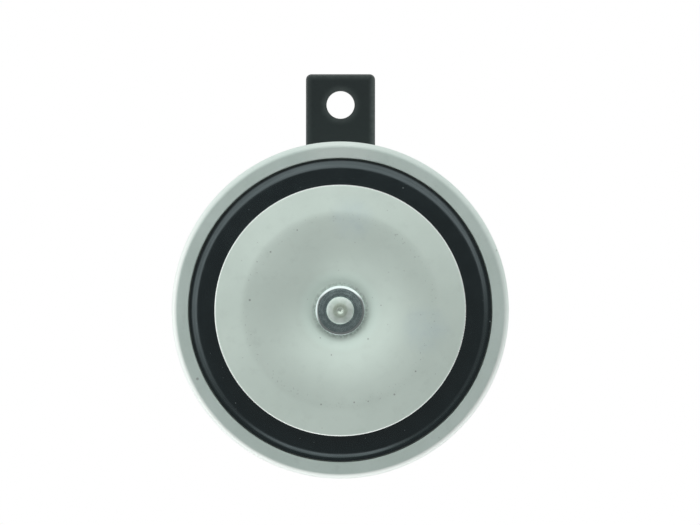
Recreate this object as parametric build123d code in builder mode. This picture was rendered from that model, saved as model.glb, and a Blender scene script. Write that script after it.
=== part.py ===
from build123d import *
import math
import os

# Electromagnetic disc horn on a strip bracket, millimetres, +Z up.
# The origin is the centre of the bracket's fixing hole. The horn's axis runs along Y,
# a fixed drop below that hole, and its sound side faces -Y.

# ---------------------------------------------------------------- driving dimensions

# Bracket: a punched steel strip with one joggle
axis_drop = 62.0
bracket_width = 21.0
bracket_thickness = 2.5
bracket_joggle = 8.0
bracket_joggle_clearance = 5.0
bracket_bend_radius = 3.5
bracket_top_margin = 9.3
bracket_corner_radius = 1.7
bracket_edge_round = 0.7
bracket_hole_radius = 4.25

# Housing: one deep-drawn can, a narrow pot behind a wide bowl with a flange.
# The shoulder is the flat ring between the pot and the bowl's corner.
housing_sheet = 1.2
housing_depth = 25.0
pot_back_radius = 21.0
pot_taper = 0.5
pot_depth = 13.5
pot_corner = 3.5
pot_root = 1.5
shoulder_width = 15.7
bowl_taper = 0.8
bowl_corner = 3.5
flange_root = 1.5
flange_width = 4.9

# Rim: a steel ring rolled round the clamped stack
rim_sheet = 1.0
rim_lip_width = 5.0
rim_back_lip_width = 4.2
rim_front_round = 2.0
rim_back_round = 1.6
stack_side_clearance = 0.1

# Clamped stack
gasket_thickness = 0.6
front_gasket_show = 0.3
rear_gasket_inset = 0.2
diaphragm_thickness = 0.5

# Diaphragm: its ring-shaped field stands forward of its centre and of its clamped edge,
# with a short inner flank and a soft step at its outside
field_height = 0.75
field_step_run = 1.3
field_step_round = 2.7
field_foot_inset = 0.85
field_inner_radius = 17.5
field_inner_run = 2.2

# Tone disc: a dished plate, flat at its seat, with a conical flare at the edge
tone_disc_radius = 37.1
tone_disc_sheet = 1.2
tone_seat_margin = 1.0
tone_seat_bend = 3.0
tone_wall_angle = 22.0
tone_wall_length = 5.0
tone_crest_radius = 26.2
tone_flare_bend = 20.0
tone_flare_angle = 13.0

# Centre stack on the armature's stem
stem_radius = 4.05
stem_bore_clearance = 0.05
stem_head_height = 1.4
stem_head_round = 0.6
stem_crown_height = 0.35
stem_dimple_radius = 1.6
stem_dimple_depth = 0.5
front_washer_radius = 7.3
front_washer_thickness = 1.8
front_washer_round = 0.85
spacer_thickness = 2.5
stiffener_width = 3.9
stiffener_thickness = 1.2

# Electromagnet
armature_radius = 8.0
armature_chamfer = 0.5
air_gap = 1.0
pole_face_depth = 6.5
coil_bore_clearance = 0.8
bobbin_wall = 0.9
bobbin_flange = 1.2
bobbin_corner_clearance = 0.2
winding_inset = 0.6
winding_clearance = 0.05
pole_plate_clearance = 1.0
pole_plate_thickness = 2.0
pole_plate_flat_clearance = 2.5
lead_notch_width = 12.0
lead_notch_margin = 1.8

# Rivets: plate rivets, breaker rivets and terminal rivets
rivet_clearance = 0.05
rivet_inset = 2.5
plate_rivet_angles = (90.0, 150.0, 210.0)
plate_rivet_radius = 1.5
plate_rivet_head = 2.4
plate_rivet_head_height = 1.0
breaker_rivet_radius = 1.2
breaker_rivet_head = 2.2
breaker_rivet_head_height = 0.9
breaker_rivet_spread = 3.0

# Contact breaker, a riveted stack on the pole plate's +X side
breaker_root_length = 5.8
breaker_root_width = 10.0
base_insulator_thickness = 1.2
contact_spring_thickness = 0.3
contact_insulator_thickness = 2.0
contact_arm_thickness = 1.0
top_insulator_thickness = 0.8
contact_spring_lap = 1.4
contact_spring_width = 5.0
contact_arm_clearance = 2.0
contact_arm_width = 6.0
contact_arm_tail = 3.0
contact_setback = 1.8
contact_radius = 1.8
contact_thickness = 1.0
sleeve_wall = 2.0
sleeve_flange_width = 1.55
sleeve_flange_thickness = 1.5
sleeve_gap = 0.2

# Adjusting screw with its nut inside the bowl
adjuster_radius = 2.5
adjuster_clearance = 0.05
adjuster_stand_out = 3.0
adjuster_point_chamfer = 0.8
adjuster_slot_width = 0.8
adjuster_slot_depth = 1.2
adjuster_slot_angle = 35.0
adjuster_nut_flats = 8.0
adjuster_nut_height = 4.0
adjuster_nut_clearance = 0.7

# Terminals: two tab blades on a moulded block at the bottom
terminal_spread = 7.0
terminal_rivet_inset = 4.0
terminal_rivet_radius = 1.5
terminal_rivet_head = 2.6
terminal_rivet_head_height = 1.0
block_width = 26.0
block_inset = 1.5
block_outer_clearance = 0.4
block_thickness = 3.0
block_corner = 2.0
block_rib_width = 2.0
block_rib_height = 3.0
block_boss_radius = 3.0
block_boss_clearance = 0.1
insulator_width = 24.0
insulator_length = 8.5
insulator_thickness = 1.0
blade_width = 6.3
blade_thickness = 0.8
blade_foot_inset = 0.7
blade_inset = 2.6
blade_bend = 1.2
blade_length = 9.5
blade_tip_chamfer = 1.0
blade_hole_radius = 0.85
blade_hole_from_tip = 3.2

# Wiring
lead_radius = 0.4
lead_bend = 1.2
lead_end_bend = 0.7
lead_start_x = 3.5
lead_start_inset = 1.4
lead_front_clearance = 1.5
spring_lead_run = 4.0
arm_lead_run = 9.0
resistor_radius = 1.8
resistor_length = 6.0
resistor_clearance = 2.7
resistor_lead_radius = 0.3
resistor_lead_bend = 0.8
resistor_lead_inset = 0.6
resistor_lead_setback = 1.3

# Rear fastening on the M8 stud of the pole core
stud_radius = 4.0
stud_clearance = 0.05
stud_end_chamfer = 0.8
stud_protrusion = 1.8
bracket_stud_clearance = 0.25
washer_radius = 8.0
washer_clearance = 0.2
washer_thickness = 1.6
lock_washer_radius = 7.4
lock_washer_clearance = 0.1
lock_washer_thickness = 2.0
lock_washer_slit = 0.9
lock_washer_slit_angle = 20.0
nut_flats = 13.0
nut_height = 6.5
nut_chamfer_angle = 30.0

# ---------------------------------------------------------------- places across the axis

shoulder_inner_radius = pot_back_radius + pot_taper + pot_root
shoulder_outer_radius = shoulder_inner_radius + shoulder_width
bowl_back_radius = shoulder_outer_radius + bowl_corner
bowl_radius = bowl_back_radius + bowl_taper
stack_radius = bowl_radius + flange_width
rim_radius = stack_radius + stack_side_clearance + max(rim_front_round, rim_back_round)
rim_lip_radius = rim_radius - rim_lip_width
front_gasket_inner = rim_lip_radius - front_gasket_show
rear_gasket_inner = bowl_radius + flange_root + rear_gasket_inset
field_outer_radius = front_gasket_inner - field_foot_inset

stem_bore = stem_radius + stem_bore_clearance
tone_seat_radius = front_washer_radius + tone_seat_margin
sleeve_bore = armature_radius + stem_bore_clearance
sleeve_flange_radius = sleeve_bore + sleeve_wall + sleeve_flange_width
coil_bore = armature_radius + coil_bore_clearance
bobbin_tube_radius = coil_bore + bobbin_wall
bobbin_flange_radius = pot_back_radius - pot_corner - bobbin_corner_clearance
winding_radius = bobbin_flange_radius - winding_inset
lead_start_drop = winding_radius - lead_start_inset
lead_notch_top = lead_start_drop - lead_notch_margin

rivet_circle = shoulder_inner_radius + rivet_inset
breaker_root_start = rivet_circle - breaker_root_length / 2
breaker_root_end = rivet_circle + breaker_root_length / 2
contact_spring_tip = sleeve_flange_radius - contact_spring_lap
contact_arm_tip = sleeve_flange_radius + contact_arm_clearance
contact_x = contact_arm_tip + contact_radius + contact_setback
adjuster_x = shoulder_outer_radius - adjuster_nut_clearance - adjuster_nut_flats / 2
contact_arm_end = adjuster_x + contact_arm_tail
pole_plate_radius = adjuster_x - adjuster_nut_flats / 2 - pole_plate_clearance

block_top = shoulder_inner_radius + block_inset
block_bottom = math.sqrt(shoulder_outer_radius**2 - (block_width / 2) ** 2) - block_outer_clearance
terminal_rivet_drop = block_top + terminal_rivet_inset
pole_plate_flat = block_top - pole_plate_flat_clearance
blade_foot_top = block_top + blade_foot_inset
blade_drop = block_bottom - blade_inset

# ---------------------------------------------------------------- places along the axis

back_y = bracket_joggle - bracket_thickness / 2
back_inner_y = back_y - housing_sheet
shoulder_y = back_y - pot_depth
shoulder_inner_y = shoulder_y - housing_sheet
flange_front_y = back_y - housing_depth
flange_rear_y = flange_front_y + housing_sheet
diaphragm_rear_y = flange_front_y - gasket_thickness
diaphragm_front_y = diaphragm_rear_y - diaphragm_thickness
rim_inner_front_y = diaphragm_front_y - gasket_thickness
rim_front_y = rim_inner_front_y - rim_sheet
rim_rear_y = flange_rear_y + rim_sheet

tone_seat_rear_y = diaphragm_front_y - spacer_thickness
tone_seat_front_y = tone_seat_rear_y - tone_disc_sheet
front_washer_front_y = tone_seat_front_y - front_washer_thickness
stem_front_y = front_washer_front_y - stem_head_height
armature_shoulder_y = diaphragm_rear_y + stiffener_thickness

pole_face_y = back_inner_y - pole_face_depth
armature_rear_y = pole_face_y - air_gap
pole_plate_front_y = shoulder_inner_y - pole_plate_thickness

spring_rear_y = pole_plate_front_y - base_insulator_thickness
spring_front_y = spring_rear_y - contact_spring_thickness
arm_rear_y = spring_front_y - contact_insulator_thickness
arm_front_y = arm_rear_y - contact_arm_thickness
breaker_top_y = arm_front_y - top_insulator_thickness
contact_meeting_y = spring_front_y - contact_thickness
sleeve_rear_y = spring_front_y - sleeve_gap

block_rear_y = shoulder_y + block_thickness
insulator_front_y = shoulder_inner_y - insulator_thickness
foot_rear_y = block_rear_y + blade_thickness

bracket_rear_y = bracket_joggle + bracket_thickness / 2
washer_rear_y = bracket_rear_y + washer_thickness
lock_washer_rear_y = washer_rear_y + lock_washer_thickness
nut_rear_y = lock_washer_rear_y + nut_height
stud_end_y = nut_rear_y + stud_protrusion

# ---------------------------------------------------------------- planes and helpers

section_plane = Plane.XY.offset(-axis_drop)
horn_axis = Axis((0, 0, -axis_drop), (0, 1, 0))


def disc_plane(y):
    """Plane across the horn's axis at y: local x is X, local y is Z, and it faces the sound side."""
    return Plane(origin=(0, y, -axis_drop), x_dir=(1, 0, 0), z_dir=(0, -1, 0))


def sheet_section(points, radii, thickness, side):
    """Section of a pressed sheet: a line with rounded bends, thickened to one side."""
    with BuildSketch(section_plane) as section:
        with BuildLine():
            FilletPolyline(*points, radius=radii)
            offset(amount=thickness, side=side)
        make_face()
    return section.sketch


def flat_ring(inner, outer, rear_y, front_y):
    """Flat ring across the horn's axis, between two places along it."""
    with BuildPart() as ring:
        with BuildSketch(disc_plane(rear_y)):
            Circle(outer)
            Circle(inner, mode=Mode.SUBTRACT)
        extrude(amount=rear_y - front_y)
    return ring


def rivet_section(x, z, shank, head, head_height, rear_y, front_y):
    """Half section of a rivet with a domed head at each end, on an axis at x and z."""
    with BuildSketch(Plane.XY.offset(z - axis_drop)) as section:
        with BuildLine():
            Line((x, rear_y + head_height), (x, front_y - head_height))
            RadiusArc((x, front_y - head_height), (x + head, front_y), -dome_radius(head, head_height))
            Polyline((x + head, front_y), (x + shank, front_y), (x + shank, rear_y), (x + head, rear_y))
            RadiusArc((x + head, rear_y), (x, rear_y + head_height), -dome_radius(head, head_height))
        make_face()
    return section.sketch


def dome_radius(head, head_height):
    """Radius of the arc from the edge of a rivet's head to its top."""
    return (head**2 + head_height**2) / (2 * head_height)


def rivet_group(places, shank, head, head_height, rear_y, front_y):
    """Like rivets as separate solids, one at each (x, z) place."""
    with BuildPart() as rivets:
        for x, z in places:
            section = rivet_section(x, z, shank, head, head_height, rear_y, front_y)
            revolve(section, axis=Axis((x, 0, z - axis_drop), (0, 1, 0)))
    return rivets


def round_wire(points, radii, wire_radius):
    """Solid wire along straight runs joined by arcs."""
    with BuildPart() as wire:
        with BuildLine() as route:
            FilletPolyline(*points, radius=radii)
        with BuildSketch(Plane(origin=route.line @ 0, z_dir=route.line % 0)):
            Circle(wire_radius)
        sweep()
    return wire


def at(x, y, z):
    """World point from a place measured from the horn's axis."""
    return (x, y, z - axis_drop)


plate_rivet_places = [
    (
        rivet_circle * math.cos(math.radians(angle)),
        rivet_circle * math.sin(math.radians(angle)),
    )
    for angle in plate_rivet_angles
]
breaker_rivet_places = [(rivet_circle, -breaker_rivet_spread), (rivet_circle, breaker_rivet_spread)]
terminal_rivet_places = [(-terminal_spread, -terminal_rivet_drop), (terminal_spread, -terminal_rivet_drop)]

# ---------------------------------------------------------------- housing

with BuildPart() as housing:
    outer_line = [
        (stud_radius + stud_clearance, back_y),
        (pot_back_radius, back_y),
        (pot_back_radius + pot_taper, shoulder_y),
        (bowl_back_radius, shoulder_y),
        (bowl_radius, flange_rear_y),
        (stack_radius, flange_rear_y),
    ]
    outer_radii = [pot_corner, pot_root, bowl_corner, flange_root]
    revolve(sheet_section(outer_line, outer_radii, housing_sheet, Side.RIGHT), axis=horn_axis)
    with BuildSketch(disc_plane(shoulder_y)):
        with Locations(*plate_rivet_places):
            Circle(plate_rivet_radius + rivet_clearance)
        with Locations(*breaker_rivet_places):
            Circle(breaker_rivet_radius + rivet_clearance)
        with Locations(*terminal_rivet_places):
            Circle(block_boss_radius + block_boss_clearance)
        with Locations((adjuster_x, 0)):
            Circle(adjuster_radius + adjuster_clearance)
    extrude(amount=housing_sheet, mode=Mode.SUBTRACT)

# ---------------------------------------------------------------- rim and clamped stack

with BuildPart() as rim_ring:
    rim_line = [
        (rim_lip_radius, rim_front_y),
        (rim_radius, rim_front_y),
        (rim_radius, rim_rear_y),
        (rim_radius - rim_back_lip_width, rim_rear_y),
    ]
    revolve(sheet_section(rim_line, [rim_front_round, rim_back_round], rim_sheet, Side.LEFT), axis=horn_axis)

front_gasket = flat_ring(front_gasket_inner, stack_radius, diaphragm_front_y, rim_inner_front_y)
rear_gasket = flat_ring(rear_gasket_inner, stack_radius, flange_front_y, diaphragm_rear_y)

with BuildPart() as diaphragm:
    field_y = diaphragm_front_y - field_height
    diaphragm_line = [
        (stem_bore, diaphragm_front_y),
        (field_inner_radius, diaphragm_front_y),
        (field_inner_radius + field_inner_run, field_y),
        (field_outer_radius - field_step_run, field_y),
        (field_outer_radius, diaphragm_front_y),
        (stack_radius, diaphragm_front_y),
    ]
    root_round = diaphragm_thickness * 0.6
    crest_round = diaphragm_thickness * 1.5
    diaphragm_radii = [root_round, crest_round, field_step_round, field_step_round]
    revolve(sheet_section(diaphragm_line, diaphragm_radii, diaphragm_thickness, Side.LEFT), axis=horn_axis)

# ---------------------------------------------------------------- tone disc

with BuildPart() as tone_disc:
    with BuildSketch(section_plane):
        with BuildLine():
            seat = Line((stem_bore, tone_seat_front_y), (tone_seat_radius, tone_seat_front_y))
            foot = JernArc(seat @ 1, seat % 1, tone_seat_bend, -tone_wall_angle)
            wall = PolarLine(foot @ 1, tone_wall_length, direction=foot % 1)
            wall_end = wall @ 1
            dish_radius = (tone_crest_radius - wall_end.X) / math.sin(math.radians(tone_wall_angle))
            dish = JernArc(wall_end, wall % 1, dish_radius, tone_wall_angle)
            crest = JernArc(dish @ 1, dish % 1, tone_flare_bend, tone_flare_angle)
            flare_start = crest @ 1
            flare_length = (tone_disc_radius - flare_start.X) / math.cos(math.radians(tone_flare_angle))
            PolarLine(flare_start, flare_length, direction=crest % 1)
            offset(amount=tone_disc_sheet, side=Side.LEFT)
        make_face()
    revolve(axis=horn_axis)

# ---------------------------------------------------------------- centre stack

# The stem's head is the cap of a ball centred on the axis, between its dimple and its rounded edge
crown_outer_radius = stem_radius - stem_head_round
crown_edge_y = stem_front_y + stem_crown_height
crown_ring_square = crown_outer_radius**2 - stem_dimple_radius**2
crown_centre_depth = (crown_ring_square + stem_crown_height**2) / (2 * stem_crown_height)
crown_ball_radius = math.hypot(crown_centre_depth, stem_dimple_radius)

with BuildPart() as armature:
    with BuildSketch(section_plane):
        with BuildLine():
            Polyline(
                (0, armature_rear_y),
                (armature_radius - armature_chamfer, armature_rear_y),
                (armature_radius, armature_rear_y - armature_chamfer),
                (armature_radius, armature_shoulder_y),
                (stem_radius, armature_shoulder_y),
                (stem_radius, crown_edge_y + stem_head_round),
            )
            RadiusArc(
                (stem_radius, crown_edge_y + stem_head_round),
                (crown_outer_radius, crown_edge_y),
                stem_head_round,
            )
            RadiusArc(
                (crown_outer_radius, crown_edge_y),
                (stem_dimple_radius, stem_front_y),
                crown_ball_radius,
            )
            RadiusArc(
                (stem_dimple_radius, stem_front_y),
                (0, stem_front_y + stem_dimple_depth),
                -dome_radius(stem_dimple_radius, stem_dimple_depth),
            )
            Line((0, stem_front_y + stem_dimple_depth), (0, armature_rear_y))
        make_face()
    revolve(axis=horn_axis)

stiffener_radius = armature_radius + stiffener_width
stiffening_washer = flat_ring(stem_bore, stiffener_radius, armature_shoulder_y, diaphragm_rear_y)
disc_spacer = flat_ring(stem_bore, tone_seat_radius, diaphragm_front_y, tone_seat_rear_y)

with BuildPart() as front_washer:
    with BuildSketch(disc_plane(tone_seat_front_y)):
        Circle(front_washer_radius)
        Circle(stem_bore, mode=Mode.SUBTRACT)
    extrude(amount=front_washer_thickness)
    front_face = front_washer.faces().sort_by(Axis.Y)[0]
    fillet(front_face.edges().sort_by(SortBy.RADIUS)[-1], front_washer_round)

with BuildPart() as actuator_sleeve:
    with BuildSketch(section_plane):
        with BuildLine():
            Polyline(
                (sleeve_bore, armature_shoulder_y),
                (sleeve_bore + sleeve_wall, armature_shoulder_y),
                (sleeve_bore + sleeve_wall, sleeve_rear_y - sleeve_flange_thickness),
                (sleeve_flange_radius, sleeve_rear_y - sleeve_flange_thickness),
                (sleeve_flange_radius, sleeve_rear_y),
                (sleeve_bore, sleeve_rear_y),
                close=True,
            )
        make_face()
    revolve(axis=horn_axis)

# ---------------------------------------------------------------- electromagnet

with BuildPart() as pole_core:
    with BuildSketch(section_plane):
        with BuildLine():
            Polyline(
                (0, pole_face_y),
                (armature_radius, pole_face_y),
                (armature_radius, back_inner_y),
                (stud_radius, back_inner_y),
                (stud_radius, stud_end_y - stud_end_chamfer),
                (stud_radius - stud_end_chamfer, stud_end_y),
                (0, stud_end_y),
                close=True,
            )
        make_face()
    revolve(axis=horn_axis)

with BuildPart() as coil_bobbin:
    with BuildSketch(section_plane):
        with BuildLine():
            Polyline(
                (coil_bore, back_inner_y),
                (bobbin_flange_radius, back_inner_y),
                (bobbin_flange_radius, back_inner_y - bobbin_flange),
                (bobbin_tube_radius, back_inner_y - bobbin_flange),
                (bobbin_tube_radius, shoulder_inner_y + bobbin_flange),
                (bobbin_flange_radius, shoulder_inner_y + bobbin_flange),
                (bobbin_flange_radius, shoulder_inner_y),
                (coil_bore, shoulder_inner_y),
                close=True,
            )
        make_face()
    revolve(axis=horn_axis)
    with BuildSketch(disc_plane(shoulder_inner_y + bobbin_flange)):
        with Locations((0, -bobbin_flange_radius)):
            Rectangle(lead_notch_width, 2 * (bobbin_flange_radius - lead_notch_top))
    extrude(amount=bobbin_flange, mode=Mode.SUBTRACT)

winding_rear_y = back_inner_y - bobbin_flange - winding_clearance
winding_front_y = shoulder_inner_y + bobbin_flange + winding_clearance
coil_winding = flat_ring(
    bobbin_tube_radius + winding_clearance,
    winding_radius,
    winding_rear_y,
    winding_front_y,
)

with BuildPart() as pole_plate:
    with BuildSketch(disc_plane(shoulder_inner_y)):
        Circle(pole_plate_radius)
        with Locations((0, -pole_plate_flat - pole_plate_radius)):
            Rectangle(2 * pole_plate_radius, 2 * pole_plate_radius, mode=Mode.SUBTRACT)
        with Locations((0, -pole_plate_flat)):
            Rectangle(lead_notch_width, 2 * (pole_plate_flat - lead_notch_top), mode=Mode.SUBTRACT)
        Circle(coil_bore, mode=Mode.SUBTRACT)
        with Locations(*plate_rivet_places):
            Circle(plate_rivet_radius + rivet_clearance, mode=Mode.SUBTRACT)
        with Locations(*breaker_rivet_places):
            Circle(breaker_rivet_radius + rivet_clearance, mode=Mode.SUBTRACT)
    extrude(amount=pole_plate_thickness)

plate_rivets = rivet_group(
    plate_rivet_places,
    plate_rivet_radius,
    plate_rivet_head,
    plate_rivet_head_height,
    shoulder_y,
    pole_plate_front_y,
)

# ---------------------------------------------------------------- contact breaker


def breaker_strip(rear_y, thickness, tip=None, width=None, tail=breaker_root_end):
    """One layer of the breaker: a root with two rivet holes, and a tongue towards the axis."""
    with BuildPart() as strip:
        with BuildSketch(disc_plane(rear_y)):
            root_middle = (breaker_root_start + tail) / 2
            with Locations((root_middle, 0)):
                Rectangle(tail - breaker_root_start, breaker_root_width)
            if tip is not None:
                with Locations(((tip + breaker_root_start) / 2, 0)):
                    Rectangle(breaker_root_start - tip, width)
            with Locations(*breaker_rivet_places):
                Circle(breaker_rivet_radius + rivet_clearance, mode=Mode.SUBTRACT)
        extrude(amount=thickness)
    return strip


base_insulator = breaker_strip(pole_plate_front_y, base_insulator_thickness)
contact_spring = breaker_strip(
    spring_rear_y, contact_spring_thickness, contact_spring_tip, contact_spring_width
)
contact_insulator = breaker_strip(spring_front_y, contact_insulator_thickness)
contact_arm = breaker_strip(
    arm_rear_y, contact_arm_thickness, contact_arm_tip, contact_arm_width, contact_arm_end
)
top_insulator = breaker_strip(arm_front_y, top_insulator_thickness)


def contact_button(rear_y, front_y):
    """Round contact between a strip and the meeting plane."""
    with BuildPart() as button:
        with BuildSketch(disc_plane(rear_y)):
            with Locations((contact_x, 0)):
                Circle(contact_radius)
        extrude(amount=rear_y - front_y)
    return button


moving_contact = contact_button(spring_front_y, contact_meeting_y)
fixed_contact = contact_button(contact_meeting_y, arm_rear_y)

breaker_rivets = rivet_group(
    breaker_rivet_places,
    breaker_rivet_radius,
    breaker_rivet_head,
    breaker_rivet_head_height,
    shoulder_y,
    breaker_top_y,
)

# ---------------------------------------------------------------- adjusting screw

with BuildPart() as adjusting_screw:
    screw_end_y = shoulder_y + adjuster_stand_out
    with BuildSketch(disc_plane(screw_end_y)):
        with Locations((adjuster_x, 0)):
            Circle(adjuster_radius)
    extrude(amount=screw_end_y - arm_rear_y)
    chamfer(adjusting_screw.edges().filter_by(GeomType.CIRCLE).sort_by(Axis.Y)[0], adjuster_point_chamfer)
    with BuildSketch(disc_plane(screw_end_y)):
        with Locations((adjuster_x, 0)):
            Rectangle(2 * adjuster_radius, adjuster_slot_width, rotation=adjuster_slot_angle)
    extrude(amount=adjuster_slot_depth, mode=Mode.SUBTRACT)

with BuildPart() as adjuster_nut:
    with BuildSketch(disc_plane(shoulder_inner_y)):
        with Locations((adjuster_x, 0)):
            RegularPolygon(adjuster_nut_flats / 2, 6, major_radius=False, rotation=30)
            Circle(adjuster_radius + adjuster_clearance, mode=Mode.SUBTRACT)
    extrude(amount=adjuster_nut_height)

# ---------------------------------------------------------------- terminals

with BuildPart() as terminal_block:
    block_middle = -(block_top + block_bottom) / 2
    with BuildSketch(disc_plane(block_rear_y)):
        with Locations((0, block_middle)):
            RectangleRounded(block_width, block_bottom - block_top, block_corner)
    extrude(amount=block_thickness)
    with BuildSketch(disc_plane(block_rear_y)):
        with Locations((0, block_middle)):
            Rectangle(block_rib_width, block_bottom - block_top)
    extrude(amount=-block_rib_height)
    with BuildSketch(disc_plane(shoulder_y)):
        with Locations(*terminal_rivet_places):
            Circle(block_boss_radius)
    extrude(amount=housing_sheet)
    with BuildSketch(disc_plane(block_rear_y)):
        with Locations(*terminal_rivet_places):
            Circle(terminal_rivet_radius + rivet_clearance)
    extrude(amount=block_thickness + housing_sheet, mode=Mode.SUBTRACT)

with BuildPart() as terminal_insulator:
    with BuildSketch(disc_plane(shoulder_inner_y)):
        with Locations((0, -block_top - insulator_length / 2)):
            RectangleRounded(insulator_width, insulator_length, block_corner)
        with Locations(*terminal_rivet_places):
            Circle(terminal_rivet_radius + rivet_clearance, mode=Mode.SUBTRACT)
    extrude(amount=insulator_thickness)


def terminal_blade(x):
    """Tab blade bent from one strip: a riveted foot and an upright tab with a detent hole."""
    foot_y = block_rear_y + blade_thickness / 2
    tip_y = block_rear_y + blade_length
    with BuildPart() as blade:
        with BuildSketch(Plane.YZ.offset(x)):
            with BuildLine() as bend:
                FilletPolyline(
                    (foot_y, -axis_drop - blade_foot_top),
                    (foot_y, -axis_drop - blade_drop),
                    (tip_y, -axis_drop - blade_drop),
                    radius=blade_bend,
                )
            trace(bend.line, blade_thickness)
        extrude(amount=blade_width / 2, both=True)
        tip_corners = blade.edges().filter_by(Axis.Z).group_by(Axis.Y)[-1]
        chamfer(tip_corners, blade_tip_chamfer)
        with BuildSketch(disc_plane(foot_rear_y)):
            with Locations((x, -terminal_rivet_drop)):
                Circle(terminal_rivet_radius + rivet_clearance)
        extrude(amount=blade_thickness, mode=Mode.SUBTRACT)
        with BuildSketch(Plane.XY.offset(-axis_drop - blade_drop)):
            with Locations((x, tip_y - blade_hole_from_tip)):
                Circle(blade_hole_radius)
        extrude(amount=blade_thickness, both=True, mode=Mode.SUBTRACT)
    return blade


terminal_blade_left = terminal_blade(-terminal_spread)
terminal_blade_right = terminal_blade(terminal_spread)

terminal_rivets = rivet_group(
    terminal_rivet_places,
    terminal_rivet_radius,
    terminal_rivet_head,
    terminal_rivet_head_height,
    foot_rear_y,
    insulator_front_y,
)

# ---------------------------------------------------------------- wiring

lead_front_y = insulator_front_y - terminal_rivet_head_height - lead_front_clearance
rivet_top_y = insulator_front_y - terminal_rivet_head_height
spring_middle_y = (spring_rear_y + spring_front_y) / 2
arm_middle_y = (arm_rear_y + arm_front_y) / 2
root_edge = breaker_root_width / 2
arm_lead_x = (breaker_root_end + contact_arm_end) / 2
resistor_rise = root_edge + resistor_radius + resistor_clearance
resistor_arm_x = contact_x + resistor_lead_setback
resistor_spring_x = breaker_root_end - resistor_lead_inset

coil_lead_to_terminal = round_wire(
    [
        at(-lead_start_x, winding_front_y, -lead_start_drop),
        at(-lead_start_x, lead_front_y, -lead_start_drop),
        at(-terminal_spread, lead_front_y, -terminal_rivet_drop),
        at(-terminal_spread, rivet_top_y, -terminal_rivet_drop),
    ],
    [lead_bend, lead_end_bend],
    lead_radius,
)
coil_lead_to_spring = round_wire(
    [
        at(lead_start_x, winding_front_y, -lead_start_drop),
        at(lead_start_x, spring_middle_y, -lead_start_drop),
        at(rivet_circle, spring_middle_y, -root_edge - spring_lead_run),
        at(rivet_circle, spring_middle_y, -root_edge),
    ],
    [lead_bend, lead_bend],
    lead_radius,
)
arm_lead_to_terminal = round_wire(
    [
        at(arm_lead_x, arm_middle_y, -root_edge),
        at(arm_lead_x, arm_middle_y, -root_edge - arm_lead_run),
        at(terminal_spread, lead_front_y, -terminal_rivet_drop),
        at(terminal_spread, rivet_top_y, -terminal_rivet_drop),
    ],
    [lead_bend, lead_end_bend],
    lead_radius,
)

with BuildPart() as suppression_resistor:
    resistor_middle = (resistor_arm_x + resistor_spring_x) / 2
    body_plane = Plane(
        origin=at(resistor_middle, arm_middle_y, resistor_rise), x_dir=(0, 1, 0), z_dir=(1, 0, 0)
    )
    with BuildSketch(body_plane):
        Circle(resistor_radius)
    extrude(amount=resistor_length / 2, both=True)
    fillet(suppression_resistor.edges().filter_by(GeomType.CIRCLE), resistor_radius / 4)
    arm_wire = round_wire(
        [
            at(resistor_middle, arm_middle_y, resistor_rise),
            at(resistor_arm_x, arm_middle_y, resistor_rise),
            at(resistor_arm_x, arm_middle_y, contact_arm_width / 2),
        ],
        [resistor_lead_bend],
        resistor_lead_radius,
    )
    spring_wire = round_wire(
        [
            at(resistor_middle, arm_middle_y, resistor_rise),
            at(resistor_spring_x, arm_middle_y, resistor_rise),
            at(resistor_spring_x, spring_middle_y, resistor_rise),
            at(resistor_spring_x, spring_middle_y, root_edge),
        ],
        [resistor_lead_bend, resistor_lead_bend],
        resistor_lead_radius,
    )
    add(arm_wire.part)
    add(spring_wire.part)

# ---------------------------------------------------------------- bracket and rear fastening

with BuildPart() as bracket:
    strip_end = bracket_width / 2
    joggle_z = -axis_drop + pot_back_radius + bracket_joggle_clearance
    with BuildSketch(Plane.YZ):
        with BuildLine() as strip_line:
            FilletPolyline(
                (0, bracket_top_margin),
                (0, joggle_z + bracket_joggle),
                (bracket_joggle, joggle_z),
                (bracket_joggle, -axis_drop - strip_end),
                radius=bracket_bend_radius,
            )
        trace(strip_line.line, bracket_thickness)
    extrude(amount=bracket_width / 2, both=True)
    fillet(bracket.edges().filter_by(Axis.Y).group_by(Axis.Z)[-1], bracket_corner_radius)
    fillet(bracket.edges().filter_by(Axis.Y).group_by(Axis.Z)[0], strip_end - bracket_edge_round)
    cross_edges = bracket.edges().filter_by(Axis.X).group_by(Axis.Z)
    bend_seams = ShapeList(edge for group in cross_edges[1:-1] for edge in group)
    corner_seams = bracket.edges().filter_by(Axis.Y)
    fillet(bracket.edges() - bend_seams - corner_seams, bracket_edge_round)
    with BuildSketch(Plane.XZ.offset(-bracket_joggle - bracket_thickness)):
        Circle(bracket_hole_radius)
        with Locations((0, -axis_drop)):
            Circle(stud_radius + bracket_stud_clearance)
    extrude(amount=bracket_joggle + 2 * bracket_thickness, mode=Mode.SUBTRACT)

bracket_washer = flat_ring(stud_radius + washer_clearance, washer_radius, washer_rear_y, bracket_rear_y)

with BuildPart() as lock_washer:
    with BuildSketch(disc_plane(lock_washer_rear_y)):
        Circle(lock_washer_radius)
        Circle(stud_radius + lock_washer_clearance, mode=Mode.SUBTRACT)
    extrude(amount=lock_washer_thickness)
    slit_plane = Plane(
        origin=at(lock_washer_radius, lock_washer_rear_y - lock_washer_thickness / 2, 0),
        x_dir=(0, 1, 0),
        z_dir=(1, 0, 0),
    )
    with BuildSketch(slit_plane):
        Rectangle(2 * lock_washer_thickness, lock_washer_slit, rotation=lock_washer_slit_angle)
    extrude(amount=-lock_washer_radius, mode=Mode.SUBTRACT)

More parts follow.
